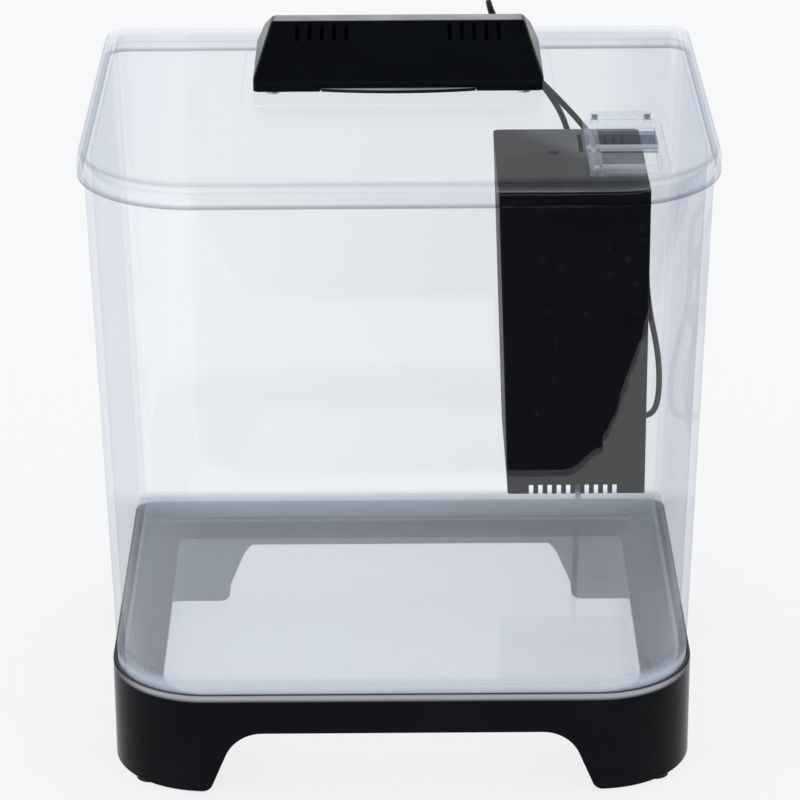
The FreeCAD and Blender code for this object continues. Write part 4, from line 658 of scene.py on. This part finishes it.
def finish_black():
    """The black shells: dust on the base, the filter and the satin pieces, a painted highlight on the base's
    lip, painted sheen on the filter's top and painted reflection on the lamp and its tab; then the rubber and
    the small black pieces.
    """
    # Dust on the base's top, and a painted highlight along its lip.
    layers = ((dust_and_sheen(0.95, 1.0), DUST), (base_lip_highlight, LIP_HIGHLIGHT))
    paint(moulded("black_base", GLOSS_BLACK, 0.22, 0.03, specular=0.05, layers=layers), "base_ring")
    # Painted reflection: the lamp's level top is lighter, mottled.
    layers = ((dust_and_sheen(0.93, 1.0), LAMP_PAINTED_REFLECTION),)
    paint(moulded("black_lamp", GLOSS_BLACK, 0.22, 0.03, specular=0.05, layers=layers), "lamp_housing")
    # Dust and painted sheen on the filter's top.
    layers = ((filter_dust_and_sheen, FILTER_DUST_AND_SHEEN),)
    sheened_black = moulded("black_filter", SATIN_BLACK, 0.4, 0.15, specular=0.05, layers=layers)
    paint(sheened_black, "filter_top_cover", "filter_front_cover")
    # The same painted reflection on the tab's upward faces.
    layers = ((dust_and_sheen(0.7, 1.2), LAMP_PAINTED_REFLECTION),)
    paint(moulded("black_tab", SATIN_BLACK, 0.3, 0.1, specular=0.2, layers=layers), "lamp_base_plate")
    layers = ((dust_and_sheen(0.95, 1.0), DUST),)
    satin = moulded("black_satin", SATIN_BLACK, 0.4, 0.15, specular=0.05, layers=layers)
    paint(satin, "filter_housing", "switch_body", "power_inlet", "flow_dial")
    rubber = moulded("black_rubber", (0.01, 0.01, 0.011), 0.6, 0.3, specular=0.2)
    paint(rubber, "foot_pads", "suction_cups", "lead_gland", "front_bush", "rear_bush")
    paint(moulded("tie_black", (0.012, 0.012, 0.013), 0.35, 0.3, 400.0), "lead_tie")


def finish_works():
    """The metal, the pump, the lamp's board and the light plastic pieces."""
    steel = metal("screw_steel", (0.6, 0.6, 0.62), 0.3)
    paint(steel, "lamp_screws", "board_screws", "inlet_pin", "impeller_shaft", "plug_shell")
    grey = moulded("grey_plastic", (0.05, 0.052, 0.056), 0.4, 0.15)
    paint(grey, "pump_motor_case", "pump_rear_cap", "volute_cover", "riser_tube", "switch_button")
    paint(metal("core_steel", (0.25, 0.25, 0.27), 0.45, 250.0, (1.0, 1.0, 8.0)), "stator_core")
    paint(winding(), "stator_coil")
    paint(moulded("magnet_ferrite", (0.03, 0.03, 0.032), 0.5, 0.4, 500.0), "rotor_magnet")
    white = moulded("impeller_white", (0.8, 0.8, 0.78), 0.4, 0.1)
    paint(white, "impeller", "cartridge_frame", "plug_tongue")
    paint(solder_board(), "led_board")
    paint(moulded("led_yellow", (0.85, 0.65, 0.12), 0.25, 0.02), "led_chips")


def finish_lead(lead):
    sheath = moulded("lead_black", (0.01, 0.011, 0.013), 0.45, 0.2, 1500.0, specular=0.25)
    paint(sheath, "plug_body", "lamp_wires", "pump_lead", "pump_lead_coil", "pump_lead_tail")
    lead.data.materials.append(sheath)


# ---------------------------------------------------------------- soft filter media

MEDIA_CUTS = 40
UPRIGHT_CROWN = 1.8
CORNER_PULL = 0.03
CORNER_SHARPNESS = 6
EDGE_DENT = 0.6


def media_piece(node, material, body, crown, seam, lumps, lump_size):
    """A padded piece in the space of its CAD solid.

    crown is how far its two broad faces are full before they fall to the seam, seam is the share of the
    thickness left at the edge, and lumps and lump_size are how deep and how wide the unevenness is.
    """
    low, high = (Vector(corner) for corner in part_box(node))
    middle, half = (low + high) / 2, (high - low) / 2
    mesh = bpy.data.meshes.new(node + "_soft")
    form = bmesh.new()
    bmesh.ops.create_cube(form, size=2.0)
    bmesh.ops.subdivide_edges(form, edges=form.edges[:], cuts=MEDIA_CUTS, use_grid_fill=True)
    for vertex in form.verts:
        x, y, z = vertex.co
        full = (1 - abs(x) ** crown) * (1 - abs(z) ** (crown * UPRIGHT_CROWN))
        thick = seam + (1 - seam) * math.sqrt(max(0.0, full))
        corner = 1 - CORNER_PULL * (abs(x) * abs(z)) ** CORNER_SHARPNESS
        spot = Vector((x * half.x * corner, y * half.y * thick, z * half.z * corner))
        dent = lumps * (0.5 + 0.5 * noise.fractal(spot / lump_size, 0.8, 2.0, 3))
        if abs(y) > 0.99:
            spot.y -= math.copysign(min(dent, abs(spot.y)), spot.y)
        across, upright = (1 - min(1.0, dent * EDGE_DENT / size) for size in (half.x, half.z))
        vertex.co = middle + Vector((spot.x * across, spot.y, spot.z * upright))
    form.to_mesh(mesh)
    form.free()
    for face in mesh.polygons:
        face.use_smooth = True
    piece = bpy.data.objects.new(node + "_soft", mesh)
    bpy.context.collection.objects.link(piece)
    mesh.materials.append(material)
    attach(piece, body)
    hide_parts(node)
    return piece


def make_media():
    foam = porous("foam_grey", (0.012, 0.013, 0.014), (0.11, 0.115, 0.12), 420.0, 0.0012)
    media_piece("bio_foam", foam, "tank",
                crown=24, seam=0.8, lumps=0.0009, lump_size=0.004)
    floss = fibrous("floss_white", (0.6, 0.61, 0.6), (0.9, 0.91, 0.9))
    media_piece("cartridge_floss", floss, "filter_front",
                crown=6, seam=0.3, lumps=0.0016, lump_size=0.007)
    carbon = meshed("carbon_mesh")
    media_piece("carbon_pouch", carbon, "filter_front",
                crown=5, seam=0.14, lumps=0.0011, lump_size=0.006)


make_camera()
lead = make_lead()
make_floor()
make_sky()
make_screen()
finish_clear()
finish_black()
finish_works()
finish_lead(lead)
make_media()

bpy.context.view_layer.update()
